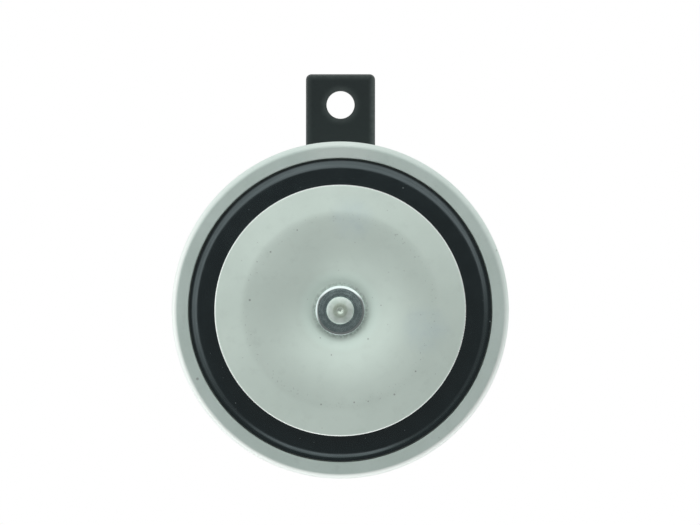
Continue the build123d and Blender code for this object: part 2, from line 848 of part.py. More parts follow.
with BuildPart() as bracket_nut:
    corner_radius = nut_flats / 2 / math.cos(math.radians(30))
    corner_drop = (corner_radius - nut_flats / 2) * math.tan(math.radians(nut_chamfer_angle))
    with BuildSketch(disc_plane(nut_rear_y)):
        RegularPolygon(nut_flats / 2, 6, major_radius=False)
    extrude(amount=nut_height)
    with BuildSketch(section_plane):
        with BuildLine():
            Polyline(
                (0, nut_rear_y),
                (nut_flats / 2, nut_rear_y),
                (corner_radius, nut_rear_y - corner_drop),
                (corner_radius, lock_washer_rear_y + corner_drop),
                (nut_flats / 2, lock_washer_rear_y),
                (0, lock_washer_rear_y),
                close=True,
            )
        make_face()
    revolve(axis=horn_axis, mode=Mode.INTERSECT)
    with BuildSketch(disc_plane(nut_rear_y)):
        Circle(stud_radius + stud_clearance)
    extrude(amount=nut_height, mode=Mode.SUBTRACT)

# ---------------------------------------------------------------- export

pieces = {
    "rim_ring": rim_ring,
    "front_gasket": front_gasket,
    "diaphragm": diaphragm,
    "rear_gasket": rear_gasket,
    "housing": housing,
    "tone_disc": tone_disc,
    "front_washer": front_washer,
    "disc_spacer": disc_spacer,
    "stiffening_washer": stiffening_washer,
    "armature": armature,
    "actuator_sleeve": actuator_sleeve,
    "pole_core": pole_core,
    "coil_bobbin": coil_bobbin,
    "coil_winding": coil_winding,
    "pole_plate": pole_plate,
    "plate_rivets": plate_rivets,
    "base_insulator": base_insulator,
    "contact_spring": contact_spring,
    "contact_insulator": contact_insulator,
    "contact_arm": contact_arm,
    "top_insulator": top_insulator,
    "moving_contact": moving_contact,
    "fixed_contact": fixed_contact,
    "breaker_rivets": breaker_rivets,
    "adjusting_screw": adjusting_screw,
    "adjuster_nut": adjuster_nut,
    "terminal_block": terminal_block,
    "terminal_insulator": terminal_insulator,
    "terminal_blade_left": terminal_blade_left,
    "terminal_blade_right": terminal_blade_right,
    "terminal_rivets": terminal_rivets,
    "coil_lead_to_terminal": coil_lead_to_terminal,
    "coil_lead_to_spring": coil_lead_to_spring,
    "arm_lead_to_terminal": arm_lead_to_terminal,
    "suppression_resistor": suppression_resistor,
    "bracket": bracket,
    "bracket_washer": bracket_washer,
    "lock_washer": lock_washer,
    "bracket_nut": bracket_nut,
}

os.makedirs("parts", exist_ok=True)
for name, piece in pieces.items():
    piece.part.label = name
    export_step(piece.part, f"parts/{name}.step")
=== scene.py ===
"""Looks of the disc horn, in metres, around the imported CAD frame.

The horn's axis runs along Y, AXIS_DROP below the bracket hole at the origin, and the tone disc faces -Y.
Turned and pressed pieces are lathed here from finer profiles than the CAD solids have. Their sizes are
in millimetres, and MM brings them to metres.
"""

import math

import bmesh
import bpy
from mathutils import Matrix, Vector


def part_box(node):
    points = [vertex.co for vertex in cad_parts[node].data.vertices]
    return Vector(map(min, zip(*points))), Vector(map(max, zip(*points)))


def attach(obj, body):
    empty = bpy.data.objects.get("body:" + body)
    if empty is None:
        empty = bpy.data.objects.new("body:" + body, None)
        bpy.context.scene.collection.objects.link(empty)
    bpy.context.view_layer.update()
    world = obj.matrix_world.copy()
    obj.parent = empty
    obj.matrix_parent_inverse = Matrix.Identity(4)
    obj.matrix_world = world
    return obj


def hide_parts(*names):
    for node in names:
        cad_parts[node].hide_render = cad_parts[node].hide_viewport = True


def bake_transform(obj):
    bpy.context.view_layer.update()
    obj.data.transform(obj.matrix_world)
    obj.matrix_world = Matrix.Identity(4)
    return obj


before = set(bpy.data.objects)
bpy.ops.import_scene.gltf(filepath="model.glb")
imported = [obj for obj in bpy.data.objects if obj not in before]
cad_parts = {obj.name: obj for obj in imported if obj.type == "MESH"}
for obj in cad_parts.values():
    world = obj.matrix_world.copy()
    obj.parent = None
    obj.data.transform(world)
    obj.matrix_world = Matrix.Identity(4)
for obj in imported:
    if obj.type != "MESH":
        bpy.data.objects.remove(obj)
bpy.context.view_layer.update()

MM = 0.001
AXIS_DROP = 62.0 * MM
LATHE_STEPS = 360
TINY = 1e-6
WHITE = (1.0, 1.0, 1.0, 1.0)


# ------------------------ camera, light and stage

SENSOR = 36.0
CAMERA_FOCAL = 130.0
CAMERA_NEAR = 0.01
CAMERA_PLACE = (2.88 * MM, -768.5 * MM, -47.9 * MM)


def make_camera():
    """Looks level along the horn's axis, from a little above it and to its right."""
    data = bpy.data.cameras.new("camera")
    data.sensor_width = SENSOR
    data.lens = CAMERA_FOCAL
    data.clip_start = CAMERA_NEAR
    camera = bpy.data.objects.new("camera", data)
    camera.location = CAMERA_PLACE
    camera.rotation_euler = (math.radians(90), 0, 0)
    bpy.context.scene.collection.objects.link(camera)
    bpy.context.scene.camera = camera


KEY_PLACE = (-0.25, -0.45, 0.75)
KEY_TARGET = (0.0, 0.0, -0.06)
KEY_SIZE = 0.6
KEY_POWER = 0.25


def make_key_light():
    """A weak, large square lamp above the camera and to its left."""
    data = bpy.data.lights.new("key_light", "AREA")
    data.shape = "SQUARE"
    data.size = KEY_SIZE
    data.energy = KEY_POWER
    lamp = bpy.data.objects.new("key_light", data)
    lamp.location = KEY_PLACE
    lamp.rotation_euler = (Vector(KEY_TARGET) - Vector(KEY_PLACE)).to_track_quat("-Z", "Y").to_euler()
    bpy.context.scene.collection.objects.link(lamp)


class Tree:
    """A node tree built one node a call. A socket given as a value is linked, anything else is set."""

    def __init__(self, tree):
        self.tree = tree

    def node(self, kind, inputs=None, **settings):
        node = self.tree.nodes.new("ShaderNode" + kind)
        for key, value in settings.items():
            setattr(node, key, value)
        for key, value in (inputs or {}).items():
            self.feed(node.inputs[key], value)
        return node

    def feed(self, socket, value):
        if isinstance(value, bpy.types.NodeSocket):
            self.tree.links.new(value, socket)
        else:
            socket.default_value = value

    def math(self, operation, a, b=0.0):
        return self.node("Math", {0: a, 1: b}, operation=operation).outputs[0]

    def product(self, first, second):
        return self.math("MULTIPLY", first, second)

    def highest(self, *values):
        result = values[0]
        for value in values[1:]:
            result = self.math("MAXIMUM", result, value)
        return result

    def fade(self, value, start, end, low, high):
        """Smooth step: low before start, high after end."""
        inputs = {"Value": value, "From Min": start, "From Max": end, "To Min": low, "To Max": high}
        return self.node("MapRange", inputs, interpolation_type="SMOOTHSTEP").outputs["Result"]

    def blend(self, factor, first, second):
        """A number between two others, the first where factor is 0."""
        return self.node("Mix", {"Factor": factor, 2: first, 3: second}, data_type="FLOAT").outputs[0]

    def vector(self, operation, first, second=None, output=0):
        inputs = {0: first} if second is None else {0: first, 1: second}
        return self.node("VectorMath", inputs, operation=operation).outputs[output]

    def along(self, direction, axis):
        """How far a direction or a place reaches along an axis."""
        return self.vector("DOT_PRODUCT", direction, axis, "Value")

    def parts(self, place):
        """The outputs X, Y and Z of a vector."""
        return self.node("SeparateXYZ", {0: place}).outputs


# The tent as it lights the horn: levels from below to above, and the directions between which they fade
TENT_UP = (-0.26, 0.0, 0.966)
TENT_SLOPE = (-0.45, 0.25)
TENT_LEVELS = (0.27, 1.02)
# The dark opening round the camera, as distances aside, above and below for one unit ahead
ROOM_LEVEL = 0.145
ROOM_SHIFT = 0.06
ROOM_LEAST_AHEAD = 0.05
ROOM_SIDE = (0.55, 0.78)
ROOM_TOP = (0.24, 0.46)
ROOM_BOTTOM = (0.72, 1.08)
# One box low in front
LOW_BOX_DIRECTION = (-0.09, -0.50, -0.861)
LOW_BOX_SPREAD = (0.866, 0.956)
LOW_BOX_LEVEL = 0.85
# The walls beside the horn, brightest at its lower left
SIDE_GLOW_FRONT = (-0.42, -0.12)
SIDE_GLOW_DIRECTION = (-0.45, 0.0, -0.893)
SIDE_GLOW_SLOPE = (-0.6, 0.5)
SIDE_GLOW_LEVELS = (0.80, 1.85)
# The backdrop behind the horn, and the grey wall far behind it
BACKDROP_FRONT = (-0.05, 0.30)
BACKDROP_DIFFUSE = 0.75
REAR_SHARE = (0.70, 0.92)
REAR_SLOPE = (-0.30, 0.40)
REAR_LEVELS = (0.20, 0.46)


def room_share(tree, direction):
    """1 in the dark opening round the camera and 0 on the lit walls of the tent."""
    part = tree.parts(direction)
    ahead = tree.highest(tree.product(part["Y"], -1.0), ROOM_LEAST_AHEAD)
    aside = tree.math("ABSOLUTE", tree.math("SUBTRACT", tree.math("DIVIDE", part["X"], ahead), ROOM_SHIFT))
    above = tree.math("DIVIDE", part["Z"], ahead)
    below = tree.product(above, -1.0)
    share = tree.product(tree.fade(aside, *ROOM_SIDE, 1.0, 0.0), tree.fade(above, *ROOM_TOP, 1.0, 0.0))
    return tree.product(share, tree.fade(below, *ROOM_BOTTOM, 1.0, 0.0))


def make_world():
    """A photographer's tent as the horn sees it, white to the camera.

    It is bright round the rim and above, dim below but for one low box, dark around the camera and grey
    behind the horn, where only the camera sees a white backdrop.
    """
    world = bpy.data.worlds.new("studio")
    bpy.context.scene.world = world
    world.use_nodes = True
    world.node_tree.nodes.clear()
    tree = Tree(world.node_tree)
    direction = tree.node("TexCoord").outputs["Generated"]
    forward = tree.along(direction, (0, 1, 0))
    sideways = tree.vector("NORMALIZE", tree.vector("MULTIPLY", direction, (1, 0, 1)))
    tent = tree.fade(tree.along(sideways, TENT_UP), *TENT_SLOPE, *TENT_LEVELS)
    low_box = tree.fade(tree.along(direction, LOW_BOX_DIRECTION), *LOW_BOX_SPREAD, 0.0, LOW_BOX_LEVEL)
    tent = tree.math("ADD", tent, low_box)
    tent = tree.blend(room_share(tree, direction), tent, ROOM_LEVEL)
    glow = tree.fade(tree.along(sideways, SIDE_GLOW_DIRECTION), *SIDE_GLOW_SLOPE, *SIDE_GLOW_LEVELS)
    tent = tree.blend(tree.fade(forward, *SIDE_GLOW_FRONT, 0.0, 1.0), tent, glow)
    path = tree.node("LightPath").outputs
    mirrored = tree.highest(path["Is Glossy Ray"], path["Is Transmission Ray"])
    backdrop = tree.blend(mirrored, BACKDROP_DIFFUSE, 1.0)
    rear_wall = tree.fade(tree.along(direction, (0, 0, 1)), *REAR_SLOPE, *REAR_LEVELS)
    backdrop = tree.blend(tree.fade(forward, *REAR_SHARE, 0.0, 1.0), backdrop, rear_wall)
    around = tree.blend(tree.fade(forward, *BACKDROP_FRONT, 0.0, 1.0), tent, backdrop)
    strength = tree.blend(path["Is Camera Ray"], around, 1.0)
    background = tree.node("Background", {"Color": WHITE, "Strength": strength})
    tree.feed(tree.node("OutputWorld").inputs["Surface"], background.outputs[0])


FLOOR_HEIGHT = -160 * MM
FLOOR_REACH = 450 * MM
FLOOR_FADE = (200 * MM, 430 * MM)
FLOOR_REAR_FADE = (110 * MM, 290 * MM)
FLOOR_GLOW = 0.30
PAPER = (0.90, 0.90, 0.90, 1.0)


def make_floor():
    """A pale floor under the hanging horn, which takes its shadow and fades to white at its edges.

    The horn doesn't see it, because the tent lights the horn from below as well, and it is clear from below.
    """
    mesh = bpy.data.meshes.new("floor")
    corners = [(x * FLOOR_REACH, y * FLOOR_REACH, 0) for x, y in ((-1, -1), (1, -1), (1, 1), (-1, 1))]
    mesh.from_pydata(corners, [], [(0, 1, 2, 3)])
    floor = bpy.data.objects.new("floor", mesh)
    floor.location = (0, 0, FLOOR_HEIGHT)
    floor.visible_diffuse = False
    floor.visible_glossy = False
    bpy.context.scene.collection.objects.link(floor)
    material = bpy.data.materials.new("floor_paper")
    material.use_nodes = True
    material.node_tree.nodes.clear()
    tree = Tree(material.node_tree)
    place = tree.parts(tree.node("TexCoord").outputs["Object"])
    side = tree.fade(tree.math("ABSOLUTE", place["X"]), *FLOOR_FADE, FLOOR_GLOW, 1.0)
    rear = tree.fade(place["Y"], *FLOOR_REAR_FADE, FLOOR_GLOW, 1.0)
    front = tree.fade(tree.product(place["Y"], -1.0), *FLOOR_FADE, FLOOR_GLOW, 1.0)
    paper = tree.node("BsdfDiffuse", {"Color": PAPER}).outputs[0]
    glow = tree.node("Emission", {"Color": WHITE, "Strength": 1.0}).outputs[0]
    above = tree.node("MixShader", {0: tree.highest(side, rear, front), 1: paper, 2: glow}).outputs[0]
    backfacing = tree.node("NewGeometry").outputs["Backfacing"]
    clear = tree.node("BsdfTransparent").outputs[0]
    sided = tree.node("MixShader", {0: backfacing, 1: above, 2: clear})
    tree.feed(tree.node("OutputMaterial").inputs["Surface"], sided.outputs[0])
    mesh.materials.append(material)


# ------------------------ materials

NOISE_SPREAD = (0.3, 0.7)


def srgb(red, green, blue):
    """Linear colour from the 0-255 values of a picture."""
    def linear(value):
        share = value / 255
        return share / 12.92 if share <= 0.04045 else ((share + 0.055) / 1.055) ** 2.4
    return (linear(red), linear(green), linear(blue), 1.0)


class Finish(Tree):
    """A surface's material: the Principled shader, the colour painted so far, and places on the horn."""

    def __init__(self, name):
        self.material = bpy.data.materials.new(name)
        self.material.use_nodes = True
        super().__init__(self.material.node_tree)
        self.shader = self.tree.nodes["Principled BSDF"]
        self.place = self.node("TexCoord").outputs["Object"]
        self.colour = None

    def mixed(self, share, first, second):
        return self.node("Mix", {"Factor": share, 6: first, 7: second}, data_type="RGBA").outputs[2]

    def base(self, share, dark, light):
        """Starts the colour: dark where share is 0, light where it is 1."""
        self.colour = self.mixed(share, srgb(*dark), srgb(*light))

    def paint(self, share, colour, strength=None):
        """Lays a colour over the surface where share says, thinned by strength."""
        if strength is not None:
            share = self.product(share, strength)
        self.colour = self.mixed(share, self.colour, srgb(*colour))

    def bump(self, height, depth, strength):
        inputs = {"Height": height, "Distance": depth, "Strength": strength}
        self.feed(self.shader.inputs["Normal"], self.node("Bump", inputs).outputs["Normal"])

    def finished(self, **values):
        """Gives the shader its colour and other values, and returns the material."""
        for key, value in {"Base_Color": self.colour, **values}.items():
            self.feed(self.shader.inputs[key.replace("_", " ")], value)
        return self.material

    def from_axis(self):
        """Place measured from the horn's axis, with nothing along it."""
        return self.vector("MULTIPLY", self.vector("ADD", self.place, (0, 0, AXIS_DROP)), (1, 0, 1))

    def radius(self):
        return self.vector("LENGTH", self.from_axis(), output="Value")

    def beyond(self, start, end, low=0.0, high=1.0):
        """Low to high between two distances from the horn's axis in millimetres."""
        return self.fade(self.radius(), start * MM, end * MM, low, high)

    def ring_band(self, inner, outer, soft):
        """1 between two distances from the horn's axis in millimetres, faded over soft."""
        return self.product(self.beyond(inner - soft, inner), self.beyond(outer, outer + soft, 1.0, 0.0))

    def noise(self, scale, detail, roughness, place=None):
        inputs = {"Vector": place or self.place, "Scale": scale, "Detail": detail, "Roughness": roughness}
        return self.node("TexNoise", inputs).outputs["Fac"]

    def spread(self, noise, low=0.0, high=1.0):
        """The middle part of a noise, stretched from low to high."""
        return self.fade(noise, *NOISE_SPREAD, low, high)

    def rings(self, scale, offset=0.0):
        """Fine turning marks: noise that changes only with the distance from the horn's axis."""
        place = self.node("CombineXYZ", {"X": self.radius(), "Y": offset, "Z": 0.0}).outputs[0]
        return self.noise(scale, 6.0, 0.7, place)

    def flat_place(self):
        """Place across the horn's axis as a plane's coordinates."""
        part = self.parts(self.from_axis())
        return self.node("CombineXYZ", {"X": part["X"], "Y": part["Z"], "Z": 0.0}).outputs[0]

    def spots(self, places):
        """1 in round marks given as (x, z, radius) in millimetres from the horn's axis, 0 elsewhere."""
        share = 0.0
        for x, z, radius in places:
            away = self.vector("DISTANCE", self.from_axis(), (x * MM, 0.0, z * MM), "Value")
            share = self.highest(self.fade(away, radius * 0.3 * MM, radius * MM, 1.0, 0.0), share)
        return share

    def specks(self, cells, size, share, solid=False):
        """Scattered round specks: cells per metre, size as a part of a cell, and the share of cells with one.

        They lie in the plane across the horn's axis, or in space for a solid with walls along it.
        """
        inputs = {"Vector": self.place if solid else self.flat_place(), "Scale": cells, "Randomness": 1.0}
        cell = self.node("TexVoronoi", inputs, voronoi_dimensions="3D" if solid else "2D").outputs
        chosen = self.node("SeparateColor", {0: cell["Color"]}).outputs[0]
        picked = self.math("GREATER_THAN", chosen, 1.0 - share)
        return self.product(self.fade(cell["Distance"], size * 0.5, size, 1.0, 0.0), picked)


# In each group below, a noise is (scale per metre, detail, roughness), and a span of roughness runs from
# the glossy to the dull parts of the grain. Places and widths are in millimetres from the horn's axis.

ZINC_CLOUDS = (60.0, 5.0, 0.6)
ZINC_GRAIN = (2500.0, 3.0, 0.6)
ZINC_MARKS = (420.0, 4.0, 0.6)
ZINC_SPECKS = (170.0, 0.09, 0.20)
ZINC_COLOURS = ((212, 229, 222), (221, 237, 231))
ZINC_MARKED = (196, 211, 206)
# Painted highlight colour for the rim's lower left edge
ZINC_EDGE_HIGHLIGHT = (248, 255, 251)
# Painted highlight colour for the top of the rim
ZINC_TOP_HIGHLIGHT = (246, 253, 248)
ZINC_SCUFFED = (140, 152, 148)
ZINC_TOP_HIGHLIGHT_PLACES = ((0.0, 47.0, 14.0),)
ZINC_RIM_EDGE = (47.0, 48.0)
ZINC_RIM_TILT = (0.015, 0.12)
ZINC_HIGHLIGHT_DIRECTION = (-0.35, 0.0, -0.94)
ZINC_HIGHLIGHT_REACH = (-35 * MM, 10 * MM)
ZINC_HIGHLIGHT_SHARE = (0.25, 1.0)
ZINC_ROUGHNESS = (0.46, 0.60)
ZINC_METALLIC = 0.45


def zinc_plate():
    """Pale satin zinc: cloudy passivation, drawing marks, a few scuffs, painted highlights on the rim's top
    and lower left edge.
    """
    finish = Finish("zinc_plate")
    grain = finish.noise(*ZINC_GRAIN)
    marks = finish.noise(*ZINC_MARKS)
    finish.base(finish.spread(finish.noise(*ZINC_CLOUDS)), *ZINC_COLOURS)
    finish.paint(finish.fade(marks, 0.55, 0.8, 0.0, 0.35), ZINC_MARKED)
    # Painted highlight on the rim's rounded outer edge, strongest at its lower left and where the surface
    # turns from view
    tilt = finish.node("LayerWeight", {"Blend": 0.5}).outputs["Facing"]
    edge_highlight = finish.product(finish.beyond(*ZINC_RIM_EDGE), finish.fade(tilt, *ZINC_RIM_TILT, 0.0, 1.0))
    side = finish.along(finish.from_axis(), ZINC_HIGHLIGHT_DIRECTION)
    finish.paint(finish.product(edge_highlight, finish.fade(side, *ZINC_HIGHLIGHT_REACH, *ZINC_HIGHLIGHT_SHARE)), ZINC_EDGE_HIGHLIGHT)
    # Painted highlight: a paler patch on the top of the rim
    finish.paint(finish.spots(ZINC_TOP_HIGHLIGHT_PLACES), ZINC_TOP_HIGHLIGHT, 0.25)
    finish.paint(finish.specks(*ZINC_SPECKS, solid=True), ZINC_SCUFFED, 0.6)
    finish.bump(finish.math("ADD", finish.product(marks, 0.6), grain), 0.012 * MM, 0.35)
    return finish.finished(Metallic=ZINC_METALLIC, Roughness=finish.spread(grain, *ZINC_ROUGHNESS))


TONE_CLOUDS = (45.0, 5.0, 0.55)
TONE_MOTTLE = (260.0, 5.0, 0.62)
TONE_GRAIN = (3000.0, 3.0, 0.6)
TONE_DUST = (1500.0, 2.0, 0.6)
TONE_SPECKS = (210.0, 0.045, 0.13)
TONE_COLOURS = ((223, 239, 230), (230, 246, 237))
TONE_MOTTLED = (214, 230, 221)
# Painted light for the wall round the washer
TONE_WALL_LIGHT = (237, 255, 246)
TONE_BLUE = (213, 233, 236)
TONE_DIRT_AND_SHADE = (112, 124, 118)
TONE_EDGE_HIGHLIGHT = (250, 255, 252)
TONE_WALL_LIGHT_BAND = (10.2, 10.4, 2.6)
TONE_GRIME_AND_SHADE_BAND = (7.3, 7.7, 1.0)
TONE_RIDGE_BAND = (26.6, 28.4, 0.6)
TONE_CUT_EDGE = (36.65, 36.80)
TONE_BLUE_PLACES = ((25.0, -5.3, 9.0), (3.6, 27.0, 8.0))
TONE_MARKS = (
    (-26.5, 3.1, 0.45), (-12.6, 23.6, 0.30), (-5.9, -8.1, 0.25), (-2.6, -13.1, 0.30), (8.2, -8.4, 0.35),
    (22.1, -17.8, 0.35), (15.9, -24.6, 0.40), (-5.6, -27.5, 0.35), (4.1, -26.9, 0.35), (8.2, -26.6, 0.30),
    (12.0, 1.5, 0.25), (-20.4, 17.2, 0.35),
)
TONE_ROUGHNESS = (0.47, 0.61)
TONE_CUT_POLISH = 0.28
TONE_METALLIC = (0.40, 0.85)


def tone_plate():
    """Satin tinned plate of the tone disc: press clouding, bluish patches, specks, marks on its ridge.

    Grime and painted shade darken the ring round the foot of the washer, painted light brightens the wall
    just outside it, and the cut edge is painted near white as a highlight.
    """
    finish = Finish("tone_plate")
    mottle = finish.noise(*TONE_MOTTLE)
    grain = finish.noise(*TONE_GRAIN)
    dust = finish.noise(*TONE_DUST)
    finish.base(finish.spread(finish.noise(*TONE_CLOUDS)), *TONE_COLOURS)
    finish.paint(finish.fade(mottle, 0.5, 0.8, 0.0, 0.5), TONE_MOTTLED)
    # Painted light: a lighter band on the wall round the washer, where the washer shades it
    finish.paint(finish.ring_band(*TONE_WALL_LIGHT_BAND), TONE_WALL_LIGHT, 0.6)
    patches = finish.product(finish.spots(TONE_BLUE_PLACES), finish.spread(mottle, 0.4, 1.0))
    finish.paint(patches, TONE_BLUE, 0.38)
    marks = finish.product(finish.spots(TONE_MARKS), 0.55)
    specks = finish.product(finish.specks(*TONE_SPECKS), 0.24)
    ridge = finish.product(finish.ring_band(*TONE_RIDGE_BAND), finish.fade(dust, 0.64, 0.72, 0.0, 0.28))
    # Grime flecks and painted shade darken the ring round the foot of the washer
    grime_and_shade = finish.product(finish.ring_band(*TONE_GRIME_AND_SHADE_BAND), finish.fade(dust, 0.35, 0.65, 0.10, 0.42))
    finish.paint(finish.highest(marks, specks, ridge, grime_and_shade), TONE_DIRT_AND_SHADE)
    # Painted highlight: the cut edge is painted near white, and made glossier and more metallic
    cut = finish.beyond(*TONE_CUT_EDGE)
    finish.paint(cut, TONE_EDGE_HIGHLIGHT)
    polish = finish.product(cut, TONE_CUT_POLISH)
    rough = finish.math("SUBTRACT", finish.spread(grain, *TONE_ROUGHNESS), polish)
    finish.bump(finish.math("ADD", finish.product(mottle, 1.5), grain), 0.010 * MM, 0.3)
    return finish.finished(Metallic=finish.fade(cut, 0.0, 1.0, *TONE_METALLIC), Roughness=rough)


ENAMEL_PEEL = (500.0, 2.0, 0.4)
ENAMEL_CLOUDS = (80.0, 4.0, 0.55)
ENAMEL_SHEEN = (160.0, 4.0, 0.6)
ENAMEL_SPECKS = (260.0, 0.03, 0.10)
ENAMEL_CHIPS = ((44.4, -3.3, 0.30), (18.6, 36.2, 0.25), (-31.0, -27.5, 0.20))
ENAMEL_COLOURS = ((0, 13, 16), (3, 19, 23))
ENAMEL_CHIPPED = (150, 160, 158)
ENAMEL_ROUGHNESS = (0.17, 0.25)
ENAMEL_TINT = (0.80, 0.97, 1.0, 1.0)
ENAMEL_INDEX = 2.08


def black_enamel():
    """Black stove enamel with a blue-green cast, glossy with a slight orange peel and a few chips."""
    finish = Finish("black_enamel")
    finish.base(finish.noise(*ENAMEL_CLOUDS), *ENAMEL_COLOURS)
    chips = finish.product(finish.spots(ENAMEL_CHIPS), 0.8)
    specks = finish.product(finish.specks(*ENAMEL_SPECKS), 0.5)
    finish.paint(finish.highest(chips, specks), ENAMEL_CHIPPED)
    rough = finish.spread(finish.noise(*ENAMEL_SHEEN), *ENAMEL_ROUGHNESS)
    finish.bump(finish.noise(*ENAMEL_PEEL), 0.006 * MM, 0.3)
    return finish.finished(Roughness=rough, IOR=ENAMEL_INDEX, Specular_Tint=ENAMEL_TINT)


STRIP_GRAIN = (2200.0, 3.0, 0.6)
STRIP_CLOUDS = (90.0, 4.0, 0.6)
STRIP_MOTTLE = (700.0, 4.0, 0.6)
STRIP_COLOURS = ((31, 42, 42), (39, 51, 51))
STRIP_THIN = (92, 102, 100)
STRIP_ROUGHNESS = (0.38, 0.50)
STRIP_SIDE = 10.5 * MM
STRIP_TOP = 9.3 * MM
STRIP_HOLE = 4.25 * MM
STRIP_BAND = 2.2 * MM
STRIP_LEFT_WEAR = 0.45
STRIP_RIGHT_WEAR = 1.2
STRIP_TOP_WEAR = 0.8
STRIP_HOLE_WEAR = 0.5


def bracket_black():
    """Black electrophoretic paint on the strip, satin, thinner and greyer along its edges and at the hole."""
    finish = Finish("bracket_black")
    grain = finish.noise(*STRIP_GRAIN)
    finish.base(finish.noise(*STRIP_CLOUDS), *STRIP_COLOURS)
    place = finish.parts(finish.place)
    band = (STRIP_SIDE - STRIP_BAND, STRIP_SIDE)
    left = finish.fade(finish.product(place["X"], -1.0), *band, 0.0, STRIP_LEFT_WEAR)
    right = finish.fade(place["X"], *band, 0.0, STRIP_RIGHT_WEAR)
    top = finish.fade(place["Z"], STRIP_TOP - STRIP_BAND, STRIP_TOP, 0.0, STRIP_TOP_WEAR)
    away = finish.vector("LENGTH", finish.vector("MULTIPLY", finish.place, (1, 0, 1)), output="Value")
    hole = finish.fade(away, STRIP_HOLE, STRIP_HOLE + STRIP_BAND, STRIP_HOLE_WEAR, 0.0)
    thin = finish.highest(left, right, top, hole)
    thin = finish.product(thin, finish.fade(finish.noise(*STRIP_MOTTLE), 0.25, 0.75, 0.6, 1.0))
    facing = finish.parts(finish.node("NewGeometry").outputs["Normal"])["Y"]
    thin = finish.product(thin, finish.fade(finish.math("ABSOLUTE", facing), 0.5, 0.9, 0.25, 1.0))
    finish.paint(thin, STRIP_THIN)
    finish.bump(grain, 0.012 * MM, 0.5)
    return finish.finished(Roughness=finish.spread(grain, *STRIP_ROUGHNESS))


WASHER_SMEAR = (500.0, 5.0, 0.65)
WASHER_FINE_CUT = 9000.0
WASHER_COARSE_CUT = 1600.0
WASHER_CUT_SPREAD = (0.38, 0.62)
WASHER_COLOURS = ((172, 197, 198), (210, 232, 231))
WASHER_EDGE_HIGHLIGHT = (238, 252, 250)
WASHER_BRIGHT_EDGE = (6.42, 6.55)
WASHER_ROUGHNESS = (0.14, 0.34)
WASHER_EDGE_ROUGHNESS = 0.09


def turned_steel():
    """Turned steel washer: concentric tool marks on its flat face, and a burnished round edge painted near
    white as a highlight.
    """
    finish = Finish("turned_steel")
    fine = finish.product(finish.rings(WASHER_FINE_CUT), 0.5)
    coarse = finish.product(finish.rings(WASHER_COARSE_CUT, 0.37), 0.5)
    cut = finish.product(finish.math("ADD", fine, coarse), 0.75)
    cut = finish.math("ADD", cut, finish.product(finish.noise(*WASHER_SMEAR), 0.25))
    # Painted highlight: the burnished round edge is painted near white, and made glossier
    edge = finish.beyond(*WASHER_BRIGHT_EDGE)
    finish.base(finish.fade(cut, *WASHER_CUT_SPREAD, 0.0, 1.0), *WASHER_COLOURS)
    finish.paint(edge, WASHER_EDGE_HIGHLIGHT)
    rough = finish.fade(cut, *WASHER_CUT_SPREAD, *WASHER_ROUGHNESS)
    finish.bump(cut, 0.02 * MM, finish.blend(edge, 0.5, 0.05))
    return finish.finished(Metallic=1.0, Roughness=finish.blend(edge, rough, WASHER_EDGE_ROUGHNESS))


STEM_HAMMERED = (1100.0, 4.0, 0.6)
STEM_SMEAR = (700.0, 4.0, 0.65)
STEM_COLOURS = ((226, 244, 234), (242, 255, 249))
STEM_CENTRE = (214, 232, 212)
STEM_DARK_RING = (158, 172, 150)
STEM_DARK_RING_BAND = (1.3, 1.9, 0.45)
STEM_ROUGHNESS = (0.36, 0.50)
STEM_METALLIC = 0.66


def stem_steel():
    """Peened steel of the stem's head, with a darker ring painted round the edge of its polished dimple."""
    finish = Finish("stem_steel")
    smear = finish.noise(*STEM_SMEAR)
    finish.base(finish.fade(smear, 0.35, 0.65, 0.0, 1.0), *STEM_COLOURS)
    finish.paint(finish.beyond(1.6, 3.4, 0.5, 0.0), STEM_CENTRE)
    # A darker ring painted round the edge of the dimple, patchy with the smear noise
    dark_ring = finish.product(finish.ring_band(*STEM_DARK_RING_BAND), finish.fade(smear, 0.35, 0.6, 0.15, 0.5))
    finish.paint(dark_ring, STEM_DARK_RING)
    polish = finish.beyond(0.7, 1.1, 0.22, 0.0)
    rough = finish.math("SUBTRACT", finish.spread(smear, *STEM_ROUGHNESS), polish)
    finish.bump(finish.noise(*STEM_HAMMERED), 0.05 * MM, 0.5)
    return finish.finished(Metallic=STEM_METALLIC, Roughness=rough)


METAL_CLOUDS = (150.0, 5.0, 0.6)
METAL_GRAIN = (1800.0, 4.0, 0.65)
METAL_RELIEF = 0.008 * MM
METALS = {
    "plain_steel": ((168, 170, 172), (190, 192, 193), 0.30, 0.45),
    "fastener_zinc": ((196, 200, 198), (216, 219, 216), 0.22, 0.38),
    "enamelled_copper": ((176, 84, 44), (204, 108, 60), 0.18, 0.30),
    "spring_bronze": ((196, 156, 96), (214, 176, 116), 0.25, 0.40),
    "contact_metal": ((216, 216, 212), (230, 230, 226), 0.12, 0.25),
    "terminal_brass": ((206, 184, 124), (222, 202, 146), 0.22, 0.36),
}


def plain_metal(name, dark, light, rough_low, rough_high):
    """A mill-finished metal: cloudy colour, fine grain in its gloss and relief."""
    finish = Finish(name)
    grain = finish.noise(*METAL_GRAIN)
    finish.base(finish.spread(finish.noise(*METAL_CLOUDS)), dark, light)
    finish.bump(grain, METAL_RELIEF, 0.5)
    return finish.finished(Metallic=1.0, Roughness=finish.spread(grain, rough_low, rough_high))


